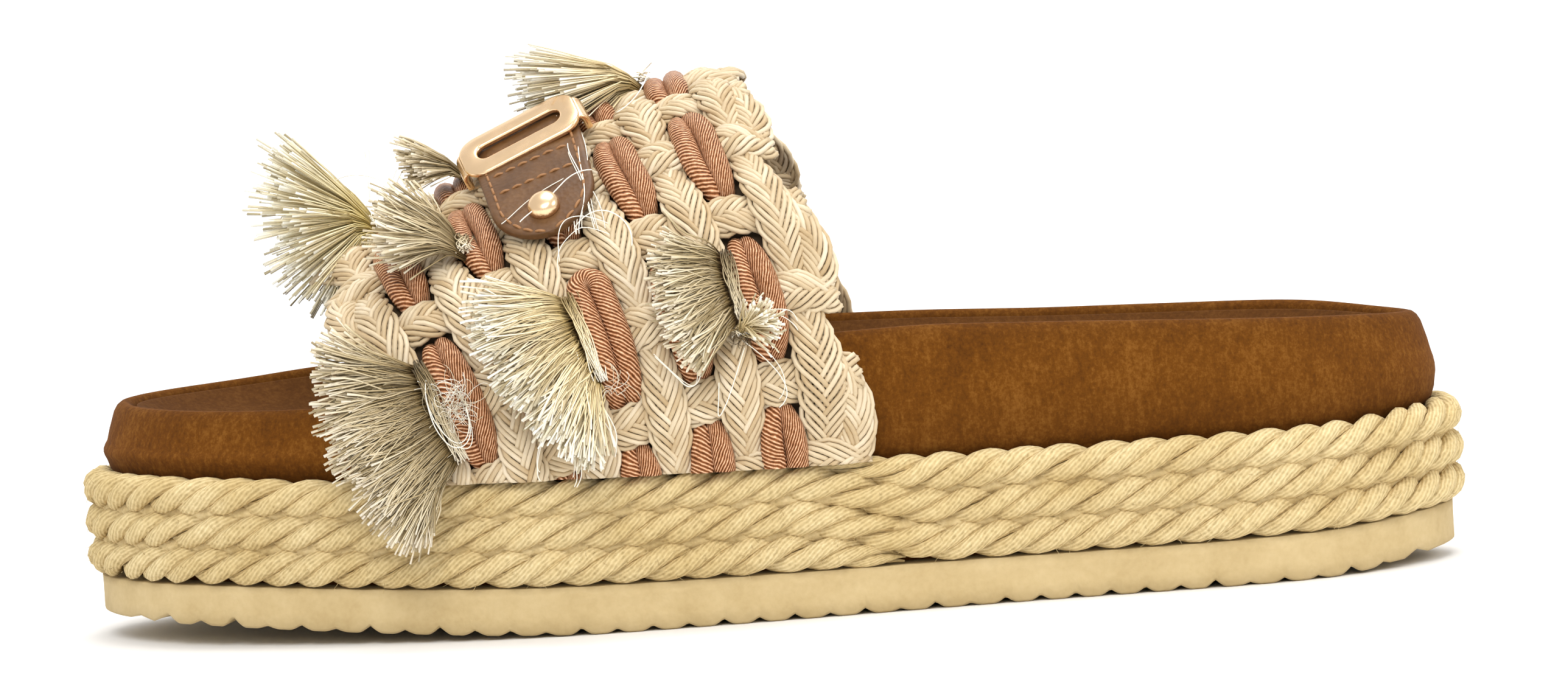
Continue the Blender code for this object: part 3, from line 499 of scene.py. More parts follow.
def buildFootbed():
    # Rings round the plan from the outsole up the wall, over the rolled rim and down under the insole;
    # each ring is the plan moved in by a distance, with a height that follows the tables
    rings = []
    for inside, up in footbed["profile"]:
        loop = ringLoop(-inside)
        rings.append(np.column_stack([loop, heightAt("outsole", loop[:, 0]) + gap + up]))
    wallTop = rings[-1]
    rimIn, rimBelow = footbed["rim"][0]
    loop = ringLoop(-rimIn)
    rimStart = np.column_stack([loop, heightAt("rim", loop[:, 0], loop[:, 1]) - rimBelow])
    for share in (0.2, 0.4, 0.6, 0.8):
        line = wallTop * (1 - share) + rimStart * share
        line[:, :2] += ringLoop(footbed["bulge"] * math.sin(math.pi * share)) - ringLoop(0.0)
        rings.append(line)
    for inside, below in footbed["rim"]:
        loop = ringLoop(-inside)
        rings.append(np.column_stack([loop, heightAt("rim", loop[:, 0], loop[:, 1]) - below]))

    def floorZ(x):
        return heightAt("insole", x) - 0.5 * insole["thick"] - footbed["underInsole"]

    loop = ringLoop(-footbed["floorEdge"])
    rings.append(np.column_stack([loop, floorZ(loop[:, 0])]))
    rings = np.array(rings)
    # The creases fade out at the foot of the wall and on the floor
    firm = np.zeros(len(rings))
    firm[len(footbed["profile"]):-1] = 1.0
    wave = creases(rings[..., 0], rings[..., 1], rings[..., 2])
    rings[..., :2] += wave[..., None] * firm[:, None, None] * (ringLoop(1.0) - ringLoop(0.0))[None]
    wallRings = len(rings)
    rings = np.concatenate([rings, closeMiddle(rings[-1], np.linspace(0.08, 0.97, 12), floorZ)])
    m, n = rings.shape[:2]
    v = np.clip((np.arange(m) - 4.0) / (wallRings - 6.0), 0.0, 1.0)
    u, v = np.meshgrid(np.arange(n) / n, v)
    material = suedeMaterial("brown suede, buffed", footbed["colours"], True)
    shape = loft(rings, np.stack([u, v], -1))
    return makePiece("suedeFootbed", [shape], material, ["footbed"])


def closeMiddle(ring, levels, zOf):
    # The ring goes on inward to a short line in the middle: ring * (1 - k) + short line * k
    lineX = np.clip(ring[:, 0], -6.0, 16.0)
    x, outer, inner = sideLines(-insole["floorIn"], np.linspace(0.02, 0.98, 80))
    line = np.column_stack([lineX, np.interp(lineX, x, 0.5 * (outer + inner))])
    out = []
    for k in levels:
        xy = ring[:, :2] * (1 - k) + line * k
        out.append(np.column_stack([xy, zOf(xy[:, 0])]))
    return out


def buildInsole():
    # A sheet that fills the hollow: flat in the middle, rising to the rim as (share of the way) ** power
    def topZ(loop, inside):
        share = (insole["floorIn"] - inside) / (insole["floorIn"] - insole["wallTopIn"])
        low = heightAt("insole", loop[:, 0])
        rise = np.clip(share, 0.0, 1.0) ** insole["wallPower"]
        return low + rise * (heightAt("rim", loop[:, 0], loop[:, 1]) - low)

    thick = insole["thick"]
    under, over = [], []
    for inside in insole["steps"]:
        loop = ringLoop(-inside)
        z = topZ(loop, inside)
        over.append(np.column_stack([loop, z]))
        under.append(np.column_stack([loop, z - thick]))
    edge = ringLoop(-insole["edgeIn"])
    z = topZ(edge, insole["edgeIn"])
    edges = [np.column_stack([edge, z - thick]), np.column_stack([edge, z - 0.7]),
             np.column_stack([ringLoop(-insole["edgeIn"] - 0.15), z - 0.12])]
    levels = np.linspace(0.06, 0.97, 16)
    floorTop = closeMiddle(over[0], levels, lambda x: heightAt("insole", x))
    floorLow = closeMiddle(under[0], levels, lambda x: heightAt("insole", x) - thick)
    rings = np.array(floorLow[::-1] + under + edges + over[::-1] + floorTop)
    # The sock's colours are darker than the footbed's: partly painted shade of the hollow, partly the darker
    # suede inside
    material = suedeMaterial("brown suede sock", insole["colours"], False)
    return makePiece("suedeInsole", [loft(rings)], material, ["insole"])


# Rope: one three strand cotton rope, three turns, one row lower after each turn
rope = {
    "turns": 3, "centreOut": 1.6, "pitch": 6.5, "crest": 3.6, "startX": 5.0, "endX": 25.0, "stepStartX": 2.0,
    "stepLength": 32.0, "spacing": 1.45, "lay": 22.4, "strands": 3, "twistRadius": 1.95, "strandRadius": 1.8,
    "yarnsRound": 13, "yarnLay": 1.55, "fillerRadius": 1.9,
    "colours": ((0.0, "#877240"), (0.45, "#c9b384"), (1.0, "#ebd8aa")),
    "clouds": ((0.3, "#e9e2d2"), (0.7, "#ffffff")),
    "fibres": 900, "fibreRoot": 3.35, "fibreRadius": 0.06,
}


def ropeMaterial():
    # Twisted cotton: dull, each strand shows short slanting yarns; the map's first number counts them
    material, tree, shader = newMaterial("laid cotton rope", {
        "Base Color": toLinear("#d9c38e"), "Roughness": 0.9, "Specular IOR Level": 0.2,
        "Sheen Weight": 0.08, "Sheen Roughness": 0.5, "Sheen Tint": toLinear("#ffe6b0")})
    where = objectPlace(tree)
    wobble = addMath(tree, "MULTIPLY", addNoise(tree, where, 2.2, 3.0), 0.9)
    yarn = addWave(tree, addMath(tree, "ADD", pieceNumbers(tree)[0], wobble))
    # The yarns are short dashes in the real rope, so a noise breaks each line
    tall = addSum(tree, (0.42, yarn), (0.95, addNoise(tree, where, 0.9, 2.0)))
    # Painted shade and highlight: the ramp darkens where the yarn wave is low, in the grooves between yarns,
    # and lightens the crests; the noise adds random tone
    colour = addRamp(tree, addMath(tree, "MULTIPLY", tall, 0.83), rope["colours"])
    clouds = addRamp(tree, addNoise(tree, where, 14.0, 3.0), rope["clouds"])
    paint(tree, shader, multiplyColours(tree, colour, clouds))
    addBump(tree, shader, tall, 0.3, 0.8)
    return material


def ropeCentre():
    # The rope's middle line: the offset plan walked at even steps, one row lower after each turn
    loop = offsetLoop(rope["centreOut"])
    closed = np.vstack([loop, loop[:1]])
    walked = walkedLength(closed)
    perimeter = walked[-1]
    near = loop[:, 1] < 0

    def walkedAt(x):
        return walked[int(np.argmin(np.where(near, np.abs(loop[:, 0] - x), 1e6)))]

    start = walkedAt(rope["startX"])
    total = rope["turns"] * perimeter - (start - walkedAt(rope["endX"]))
    along = start + np.arange(0.0, total, rope["spacing"])
    inside = along % perimeter
    x = np.interp(inside, walked, closed[:, 0])
    y = np.interp(inside, walked, closed[:, 1])
    past = (along - walkedAt(rope["stepStartX"])) / perimeter
    turn = np.floor(past)
    ease = soft((past - turn) * perimeter / rope["stepLength"])
    level = np.maximum(rope["turns"] - turn - ease, 0.0)
    # Over and under the step the rope's two ends run out as wedges that fill the room that the step leaves
    room = np.ones(len(along))
    startRun = (past >= 0) & (turn == 0) & (along < start + rope["stepLength"])
    endRun = along > start + total - rope["stepLength"]
    room = np.where(startRun, np.clip(1.15 * ease, 0.12, 1.0), room)
    lastEase = soft((past - np.round(past[-1])) * perimeter / rope["stepLength"])
    room = np.where(endRun, np.clip(1.1 * (1.0 - lastEase), 0.2, 1.0), room)
    level = np.where(startRun, rope["turns"] - 1.0, np.where(endRun, 0.0, level))
    z = heightAt("outsole", x) + gap + rope["crest"] + rope["pitch"] * level
    z = z + np.where(startRun, 1.0, -1.0) * rope["crest"] * (1.0 - room)
    centre = np.stack([x, y, z], 1)
    ahead = unit(np.gradient(centre, axis=0))
    outward = unit(np.stack([ahead[:, 1], -ahead[:, 0], 0.0 * x], 1))
    return along - start, centre, ahead, outward, room


def buildRope():
    # Strand k: centre + twist radius * (cos(angle) * outward + sin(angle) * up), with
    # angle = full turn * (s / lay + k / strands)
    s, centre, ahead, outward, room = ropeCentre()
    up = np.cross(outward, ahead)
    up = up * np.sign(up[:, 2:3])
    ease = np.minimum(soft(s / 5.0), soft((s[-1] - s) / 4.0)) * room
    lines, radii, phase = [], [], []
    for k in range(rope["strands"]):
        angle = 2.0 * math.pi * (s / rope["lay"] + k / rope["strands"]) + 0.25 * np.sin(s * 0.043 + k)
        reach = rope["twistRadius"] * (0.25 + 0.75 * ease)
        aim = np.cos(angle)[:, None] * outward + np.sin(angle)[:, None] * up
        lines.append(centre + reach[:, None] * aim)
        swell = 1.0 + 0.03 * np.sin(s * 0.31 + 2.1 * k) + 0.02 * np.sin(s * 1.7 + k)
        radii.append(rope["strandRadius"] * swell * (0.1 + 0.9 * ease))
        phase.append(s / rope["yarnLay"] + 0.31 * k)
    strands = sweep(lines, np.array(radii), outward[None], 10, np.array(phase), rope["yarnsRound"])
    # A filler lies deep between the turns, so that no light shows through
    loop = offsetLoop(rope["centreOut"] - 0.6)[::3]
    loop = np.vstack([loop, loop[:1]])
    base = heightAt("outsole", loop[:, 0]) + gap + rope["crest"]
    filler = np.array([np.column_stack([loop, base + rope["pitch"] * level]) for level in (0.5, 1.5)])
    core = sweep(filler, rope["fillerRadius"], np.array([0.0, 0.0, 1.0]), 8)
    parts = [strands, core, buildFuzz(centre, outward)]
    return makePiece("cottonRope", parts, ropeMaterial(), ["rope_wrap"])


def buildFuzz(centre, outward):
    # Loose fibres that stand off the rope, more on its lowest turn
    draw = np.random.default_rng(7)
    count = rope["fibres"]
    low = draw.random(count) < 0.45
    pick = np.where(low, draw.integers(2 * len(centre) // 3, len(centre) - 8, count),
                    draw.integers(8, len(centre) - 8, count))
    angle = draw.uniform(-0.9, 0.9, count)
    ahead = unit(np.gradient(centre, axis=0))[pick]
    up = np.array([0.0, 0.0, 1.0])
    aim = unit(outward[pick] * np.cos(angle)[:, None] + up * np.sin(angle)[:, None])
    root = centre[pick] + aim * rope["fibreRoot"]
    length = draw.uniform(0.7, 2.2, count)
    lean = aim * 0.45 + ahead * draw.uniform(-1.0, 1.0, (count, 1)) + up * draw.uniform(-0.8, 0.8, (count, 1))
    t = np.linspace(0.0, 1.0, 5)[None, :, None]
    curl = draw.uniform(-0.6, 0.6, (count, 1, 3))
    lines = root[:, None] + unit(lean)[:, None] * length[:, None, None] * t + curl * t * t
    return sweep(lines, rope["fibreRadius"] * (1.0 - 0.6 * t[..., 0]), np.array([0.31, 0.2, 0.93]), 3, 0.25)


# The woven band. Column c counts the copper cord columns from the heel side, row counts from the crown,
# negative on the outer side of the foot; cream columns lie at the halves.
weave = {
    "rowLength": 14.2, "rowShift": -0.3, "columnRear": 0.07, "columnFront": 5.93,
    "baseRearX": 17.5, "baseFrontX": -60.5, "crownRearX": -3.0, "crownFrontX": -83.0, "ridgeY": 3.0,
    "ridge": ((-0.3, 105.5), (0.0, 103.2), (0.10, 102.2), (0.25, 98.6), (0.45, 92.2), (0.70, 82.4),
              (0.90, 74.2), (1.00, 70.2), (1.30, 58.0)),
    "raised": 5.0, "archRear": 42.0, "archFront": 41.5, "footClear": 0.35, "lean": 12.0,
    "cutRear": 28.6, "cutFront": 29.8,
    "columnDrift": ((0.0, -0.05), (1.6, -0.05), (3.0, -0.02), (4.5, 0.05), (5.5, 0.17), (6.5, 0.22),
                    (8.4, 0.22)),
    "rowDrift": ((0.0, 0.0), (1.3, 0.12), (2.3, 0.16), (3.1, 0.08), (3.5, -0.08), (4.3, -0.16), (5.3, -0.25),
                 (6.3, -0.34), (8.4, -0.34)),
    "liningInset": 0.28, "liningTop": 1.35, "liningLow": 0.15,
}
chartColumns = np.linspace(-0.6, 6.8, 75)
chartRows = np.linspace(-8.4, 8.4, 337)


def wallLine(c):
    # One column of the wall's inner face: a quarter ellipse on each side of the ridge, then straight down
    share = (c - weave["columnRear"]) / (weave["columnFront"] - weave["columnRear"])
    held = min(max(share, 0.0), 1.0)
    baseX = weave["baseRearX"] + (weave["baseFrontX"] - weave["baseRearX"]) * share
    crownX = weave["crownRearX"] + (weave["crownFrontX"] - weave["crownRearX"]) * share
    table = np.array(weave["ridge"])
    ridge = float(np.interp(share, table[:, 0], table[:, 1])) - weave["raised"]
    low = weave["cutRear"]
    arch = weave["archRear"] + (weave["archFront"] - weave["archRear"]) * held
    beside = baseX - weave["lean"] * held * np.array([0.0, 0.5, 1.0])
    x, outer, inner = sideLines(0.0, (beside + 0.5 * plan["length"]) / plan["length"])
    reachNear = weave["ridgeY"] - (float(outer.min()) - weave["footClear"])
    reachFar = float(inner.max()) + weave["footClear"] - weave["ridgeY"]
    angle = np.linspace(0.0, 0.5 * np.pi, 41)
    z = np.concatenate([arch + (ridge - arch) * np.cos(angle), [arch - 12.0, arch - 60.0]])
    spread = np.concatenate([np.sin(angle), [1.0, 1.0]])
    rise = np.clip((z - low) / (ridge - low), 0.0, 1.0) ** (2.0 - held)
    xLine = baseX + (crownX - baseX) * rise
    near = np.stack([xLine, weave["ridgeY"] - reachNear * spread, z], 1)
    far = np.stack([xLine, weave["ridgeY"] + reachFar * spread, z], 1)
    line = np.vstack([near[::-1], far[1:]])
    arc = np.concatenate([-walkedLength(near)[::-1], walkedLength(far)[1:]])
    at = chartRows * weave["rowLength"]
    return np.stack([np.interp(at, arc, line[:, axis]) for axis in range(3)], 1)


chart = np.stack([wallLine(float(c)) for c in chartColumns])


def wallAt(c, row):
    # Point of the wall's inner face, read between the four nearest points of the chart
    c, row = np.broadcast_arrays(np.asarray(c, float), np.asarray(row, float))
    u = np.clip((c - chartColumns[0]) / (chartColumns[1] - chartColumns[0]), 0, len(chartColumns) - 1.001)
    v = np.clip((row - chartRows[0]) / (chartRows[1] - chartRows[0]), 0, len(chartRows) - 1.001)
    i, j = u.astype(int), v.astype(int)
    a, b = (u - i)[..., None], (v - j)[..., None]
    return ((1 - a) * (1 - b) * chart[i, j] + a * (1 - b) * chart[i + 1, j]
            + (1 - a) * b * chart[i, j + 1] + a * b * chart[i + 1, j + 1])


def wallFrame(c, row):
    # Toward the toe, along the rows, and straight out
    c, row = np.broadcast_arrays(np.asarray(c, float), np.asarray(row, float))
    d = 0.15
    across = wallAt(c + d, row) - wallAt(c - d, row)
    along = wallAt(c, row + d) - wallAt(c, row - d)
    out = unit(np.cross(across, along))
    here = wallAt(c, row)
    middle = np.stack([here[..., 0], np.full(c.shape, weave["ridgeY"]), np.full(c.shape, 45.0)], -1)
    out = out * np.sign(np.sum(out * (here - middle), axis=-1, keepdims=True))
    return unit(across), unit(along), out


def onWall(c, row, lift):
    return wallAt(c, row) + wallFrame(c, row)[2] * np.asarray(lift, float)[..., None]


def columnScale(c, row):
    # Millimetres in one column at a place
    c = np.asarray(c)
    return np.linalg.norm(wallAt(c + 0.25, row) - wallAt(c - 0.25, row), axis=-1) / 0.5


# Cream braid: a flat plait of seven strands, each of two satin cords side by side
braid = {
    "cordRadius": 0.5, "strands": 7, "cordsPerStrand": 2, "cordStep": 0.92, "swing": 3.4, "period": 22.0,
    "weaveDepth": 0.5, "crown": 1.5, "stepMm": 1.25, "narrowing": 0.3,
    "warpMiddle": 2.9, "warpSwing": 1.55, "edgeSwing": 0.04,
    "weftMiddle": 2.4, "weftSwing": 1.15, "weftRun": 0.3, "weftFall": 0.25, "columnMm": 14.6,
    "turnOut": 4.2, "turnInset": 5.2, "turnSweep": 1.12, "turnNarrow": 0.9, "turnStepMm": 1.1,
    "turnMiddle": 2.7, "turnSwing": 0.9, "turnFall": 0.035,
    "colours": ((0.25, "#b49a72"), (0.6, "#cebb9a"), (0.9, "#e2d3b9")),
}


def plait(s, phaseShift):
    # Strands that swing from edge to edge, each a share of a turn behind the last: x = swing * wave(t). A
    # strand is up while it moves outward and down while it moves inward: z = depth * tanh(2.2 * sin(2t)).
    # Returns for all cords the offsets across, along and out.
    across, along, out = [], [], []
    for k in range(braid["strands"]):
        t = 2.0 * np.pi * (s / braid["period"] + phaseShift + k / braid["strands"])
        x = braid["swing"] * (np.sin(t) - 0.08 * np.sin(3 * t)) / 1.08
        z = braid["weaveDepth"] * np.tanh(2.2 * np.sin(2.0 * t))
        slope = np.gradient(x, s)
        length = np.sqrt(1.0 + slope ** 2)
        for n in range(braid["cordsPerStrand"]):
            shift = (n - 0.5 * (braid["cordsPerStrand"] - 1)) * braid["cordStep"]
            side = x + shift / length
            across.append(side)
            along.append(-shift * slope / length)
            out.append(z + braid["crown"] * (1.0 - (side / 4.4) ** 2))
    return np.array(across), np.array(along), np.array(out)


def plaitCords(lines, c, rows, draw):
    # The cords of one plait as tubes, each with its own tone
    tone = np.broadcast_to(draw.random((len(lines), 1)), lines.shape[:2])
    return sweep(lines, braid["cordRadius"], wallFrame(c, rows)[2], 6, tone)


def braidMaterial():
    # Rayon satin cord: smooth with a soft gloss, cream, warm in the grooves
    material, tree, shader = newMaterial("cream satin cord, plaited", {
        "Base Color": toLinear("#e6d2ac"), "Roughness": 0.5, "Specular IOR Level": 0.4,
        "Sheen Weight": 0.2, "Sheen Roughness": 0.4, "Sheen Tint": toLinear("#fff4dc")})
    where = objectPlace(tree)
    tone = addSum(tree, (0.6, addNoise(tree, where, 6.0, 4.0)), (0.45, pieceNumbers(tree)[0]))
    paint(tree, shader, addRamp(tree, tone, braid["colours"]))
    addBump(tree, shader, addNoise(tree, where, 0.5, 2.0), 0.05, 0.5)
    return material


def drifted(row):
    # The real rows lie a little off the even chart: nearer the crown high up, nearer the sole low down
    away = np.abs(row)
    table = np.array(weave["rowDrift"])
    return np.sign(row) * (away - np.interp(away, table[:, 0], table[:, 1]))


def leaning(c, row):
    # The columns between the two edges also lean a little toward the toe low down
    table = np.array(weave["columnDrift"])
    return c + np.interp(np.abs(row), table[:, 0], table[:, 1]) * soft(c / 0.9) * soft((6.0 - c) / 0.9)


def rowsInSight(c):
    # First and last row of a column that lie above the cut over the rope
    rows = np.linspace(-8.2, 8.2, 400)
    z = wallAt(np.full(400, c), rows)[:, 2]
    seen = rows[z > weave["cutRear"] - 3.0]
    return seen[0], seen[-1]


def buildWarp(draw):
    # The braids over the foot: high between the wefts they cover and low where a copper row covers them
    warp = []
    for column in np.arange(0.5, 5.6, 1.0):
        first, last = rowsInSight(column)
        s = np.arange(first * weave["rowLength"], last * weave["rowLength"], braid["stepMm"])
        across, along, out = plait(s, float(draw.random()))
        rows = s[None] / weave["rowLength"] + along / weave["rowLength"]
        wave = np.cos(np.pi * (rows - weave["rowShift"]))
        narrow = 1.0 - braid["narrowing"] * (0.5 + 0.5 * wave) ** 1.5
        edge = -braid["edgeSwing"] if column < 1 else (braid["edgeSwing"] if column > 5 else 0.0)
        scale = columnScale(column, s / weave["rowLength"])[None]
        centre = column + edge * (0.5 - 0.5 * wave)
        rows = drifted(rows)
        level = braid["warpMiddle"] - braid["warpSwing"] * wave + out
        lines = onWall(leaning(centre + across * narrow / scale, rows), rows, level)
        warp.append(plaitCords(lines, column, rows, draw))
    return warp


def buildWeft(draw):
    # The braids along the foot: over and under the columns by turns
    weft = []
    start, end = weave["columnRear"] - 0.02, weave["columnFront"] + 0.02
    for step in range(-7, 8):
        row = weave["rowShift"] + step
        if wallAt(np.linspace(start, end, 9), row)[:, 2].max() < weave["cutRear"] + 1.0:
            continue
        length = float(walkedLength(wallAt(np.linspace(start, end, 60), row))[-1])
        s = np.arange(-braid["weftRun"], length + braid["weftRun"], braid["stepMm"])
        across, along, out = plait(s, float(draw.random()))
        # Every second row runs the other way
        way = 1.0 if step % 2 == 0 else -1.0
        columns = start + (end - start) * (s[::int(way)][None] + along * way) / length
        over = 0.5 if step % 2 == 0 else 1.0
        beyond = np.maximum(np.maximum(start - columns, columns - end), 0.0) * braid["columnMm"]
        level = braid["weftMiddle"] + braid["weftSwing"] * np.cos(2.0 * np.pi * (columns - over))
        level = level - braid["weftFall"] * beyond ** 2
        rows = drifted(row) + across * 0.98 / weave["rowLength"]
        lines = onWall(leaning(columns, rows), rows, np.maximum(level + out, 0.3))
        weft.append(plaitCords(lines, columns, rows, draw))
    return weft


def buildBraids():
    draw = np.random.default_rng(3)
    material = braidMaterial()
    for name, build in (("braidColumns", buildWarp), ("braidRows", buildWeft), ("braidTurns", buildTurns)):
        makePiece(name, build(draw), material, ["upper"], True)


def buildTurns(draw):
    # At each edge the weft turns round the outermost column and comes back one row on. The turn's middle line
    # is half an ellipse: turnOut * cos(angle) beyond the edge and half a row * sin(angle) along it.
    parts = []
    a, b = braid["turnOut"], 0.5 * weave["rowLength"]
    length = math.pi * math.sqrt(0.5 * (a * a + b * b)) + 3.0
    s = np.arange(0.0, length, braid["turnStepMm"])
    for edge, first in ((weave["columnRear"], -8), (weave["columnFront"], -7)):
        sign = -1.0 if edge < 3.0 else 1.0
        for step in range(first, 8, 2):
            middle = weave["rowShift"] + step + 0.5
            if wallAt(edge, drifted(middle))[2] < weave["cutRear"] - 6.0:
                continue
            across, along, out = plait(s, float(draw.random()))
            angle = math.pi * ((s[None] + along) / length - 0.5) * braid["turnSweep"]
            normal = np.stack([b * np.cos(angle), a * np.sin(angle)])
            normal = normal / np.linalg.norm(normal, axis=0)
            x = a * np.cos(angle) - braid["turnInset"] + braid["turnNarrow"] * across * normal[0]
            y = b * np.sin(angle) + braid["turnNarrow"] * across * normal[1]
            over = -1.0 if step % 2 else 1.0
            level = braid["turnMiddle"] + braid["turnSwing"] * over * np.sin(angle)
            level = level - braid["turnFall"] * np.maximum(x, 0.0) ** 2
            c = edge + sign * x / columnScale(edge, drifted(middle))
            rows = drifted(middle + y / weave["rowLength"])
            parts.append(plaitCords(onWall(c, rows, np.maximum(level + out, 0.2)), c, rows, draw))
    return parts


def buildLining():
    # The wall under the braids: a thin shell over (c, row), open at the sole. Its dark brown is painted shade
    # for the gaps between the braids
    inset = weave["liningInset"]
    columns = np.linspace(weave["columnRear"] + inset, weave["columnFront"] - inset, 90)
    c, r = np.meshgrid(columns, np.linspace(-8.0, 8.0, 220), indexing="ij")
    outer = onWall(c, r, np.full(c.shape, weave["liningTop"]))
    inner = onWall(c, r, np.full(c.shape, weave["liningLow"]))
    rings = np.concatenate([outer, inner[:, ::-1]], axis=1)
    material, tree, shader = newMaterial("cotton lining, painted shade brown", {
        "Base Color": toLinear("#4d3d2b"), "Roughness": 0.9, "Specular IOR Level": 0.2})
    tone = addNoise(tree, objectPlace(tree), 3.0, 3.0)
    paint(tree, shader, addRamp(tree, tone, ((0.3, "#3a2f25"), (0.7, "#5c4a35"))))
    makePiece("weaveLining", [loft(rings)], material, ["upper"], True)


# Copper cords: two thick satin cords side by side over every second weft. The threads of the two slant
# unlike each other: lays and threadsRound are given for the heel side's cord and the toe side's.
copper = {
    "radius": 2.2, "apart": 2.08, "half": 10.7, "middleLift": 4.3, "endLift": 1.7,
    "stations": 30, "sides": 14,
    "pairs": ((1, 7), (1, 7), (1, 7), (2, 6), (2, 6)), "looped": ("cord_pair_3_2", "cord_pair_2_6"),
    "extra": ((4, -6.3), (5, -6.3)),
    "threadMm": 0.62, "lays": (-1.4, 1.05), "threadsRound": (24.0, 7.0),
    "colours": ((0.2, "#331708"), (0.42, "#7e4a2a"), (0.62, "#b27a53"), (0.86, "#f5cda9")),
}


def copperMaterial():
    # Wrapped rayon threads: each thread shines along its own length, so the gloss breaks into slanting
    # dashes. The colour also holds painted shade in the valleys between threads and painted highlights and
    # glints on them
    material, tree, shader = newMaterial("copper satin cord, wrapped", {
        "Base Color": toLinear("#a4623a"), "Roughness": 0.42, "Specular IOR Level": 0.4,
        "Specular Tint": toLinear("#ffb684")})
    where = objectPlace(tree)
    wobble = addMath(tree, "MULTIPLY", addNoise(tree, where, 3.0, 2.0), 1.3)
    thread = addWave(tree, addMath(tree, "ADD", pieceNumbers(tree)[0], wobble))
    # Painted shade and highlight: the thread wave darkens the valleys between threads and the fine noise
    # scatters painted glints, through a ramp from dark brown to pale highlight
    tone = addSum(tree, (0.5, thread), (0.55, addNoise(tree, where, 0.8, 3.0, 0.7)))
    paint(tree, shader, addRamp(tree, tone, copper["colours"]))
    addBump(tree, shader, thread, 0.2, 0.75)
    return material


def copperStations():
    # The cord pairs of the model: name, column, row
    found = []
    for column, (first, last) in enumerate(copper["pairs"], 1):
        for number in range(first, last + 1):
            found.append(("cord_pair_%d_%d" % (column, number), column, weave["rowShift"] + 2 * number - 8))
    return found


def loopedCord(column, row):
    # One cord that runs up one side, turns in a half circle at the top and comes down the other side
    half, apart = copper["half"], copper["apart"]
    straight = half - 2.6
    tail = half + 0.8
    s = np.linspace(-tail, 2.0 * straight + tail + np.pi * apart, 110)
    turn = np.clip(s - straight, 0.0, np.pi * apart) / apart
    down = np.maximum(s - straight - np.pi * apart, 0.0)
    x = -apart * np.cos(turn)
    y = np.minimum(s, straight) + apart * np.sin(turn) - down
    share = np.clip(np.abs(np.minimum(y, 0.0)) / half, 0.0, 1.0)
    rise = copper["middleLift"] + 0.5 - copper["endLift"]
    lift = copper["endLift"] + rise * np.cos(0.5 * np.pi * share ** 2)
    r = drifted(row + y / weave["rowLength"])
    c = leaning(column + x * (1.0 - 0.3 * share ** 3) / columnScale(column, row), r)
    radius = copper["radius"] * (1.0 - 0.25 * share ** 4)
    return sweep(onWall(c, r, lift)[None], radius[None], wallFrame(c, r)[2][None], copper["sides"],
                 s / (copper["threadMm"] * 1.1), 14.0)


def buildCopper():
    # Each cord lies beside its column's middle line and dives at both ends, where it also narrows:
    # lift = end + (middle - end) * cos(quarter turn * share ** 1.6) ** 0.7
    draw = np.random.default_rng(11)
    share = np.linspace(-1.0, 1.0, copper["stations"])
    away = np.abs(share)
    arch = np.cos(0.5 * np.pi * away ** 1.6) ** 0.7
    lift = copper["endLift"] + (copper["middleLift"] - copper["endLift"]) * arch
    names, loops, cords = [], [], ([], [])
    for name, column, row in copperStations() + [(None, column, row) for column, row in copper["extra"]]:
        if name:
            names.append(name)
        if name in copper["looped"]:
            loops.append(loopedCord(column, row))
            continue
        for side, lay, found in zip((-1.0, 1.0), copper["lays"], cords):
            half = copper["half"] * (1.0 + 0.03 * draw.uniform(-1, 1))
            s = share * half
            x = side * copper["apart"] * (1.0 - 0.55 * away ** 3.0)
            x = x + 0.16 * np.sin(s * 0.4 + draw.uniform(0, 6))
            r = drifted(row + s / weave["rowLength"])
            c = leaning(column + x / columnScale(column, row), r)
            radius = copper["radius"] * (1.0 - 0.34 * away ** 3.5) * (1.0 + 0.03 * np.sin(s * 0.5 + side))
            found.append((onWall(c, r, lift), radius, wallFrame(c, r)[2], s / (copper["threadMm"] * lay)))
    tubes = []
    for found, threads in zip(cords, copper["threadsRound"]):
        lines, radii, aims, phases = (np.array(v) for v in zip(*found))
        tubes.append(sweep(lines, radii, aims, copper["sides"], phases, threads))
    makePiece("copperCords", tubes + loops, copperMaterial(), names, True)


# Buckle: leather strip with rounded ends and stitching, slotted plate, two domed rivets
buckle = {
    "x": -39.9, "lean": 1.8, "lift": 7.3, "thick": 1.7, "edge": 0.55,
    "tipOuter": -3.03, "tipInner": 2.62, "half": 9.2, "swell": 0.6,
    "stitchIn": 1.7, "stitchStep": 2.3, "stitchLength": 1.75, "stitchRadius": 0.27,
    "stitchRows": (-1.72, -2.12),
    "plateRow": -1.2, "plateLift": 10.0, "plateTilt": 15.0, "plateBend": 0.0085,
    "plateLength": 24.5, "plateWidth": 12.0, "plateCorner": 4.2, "plateThick": 1.4,
    "slotLength": 17.5, "slotWidth": 4.2, "slotCorner": 1.9, "backLength": 21.0, "backWidth": 9.0,
    "rivetRadius": 3.1, "rivetHeight": 2.6, "rivetRows": (-2.65, 1.95),
    "colours": ((0.2, "#43290f"), (0.55, "#5f3f20"), (0.85, "#785531")),
}
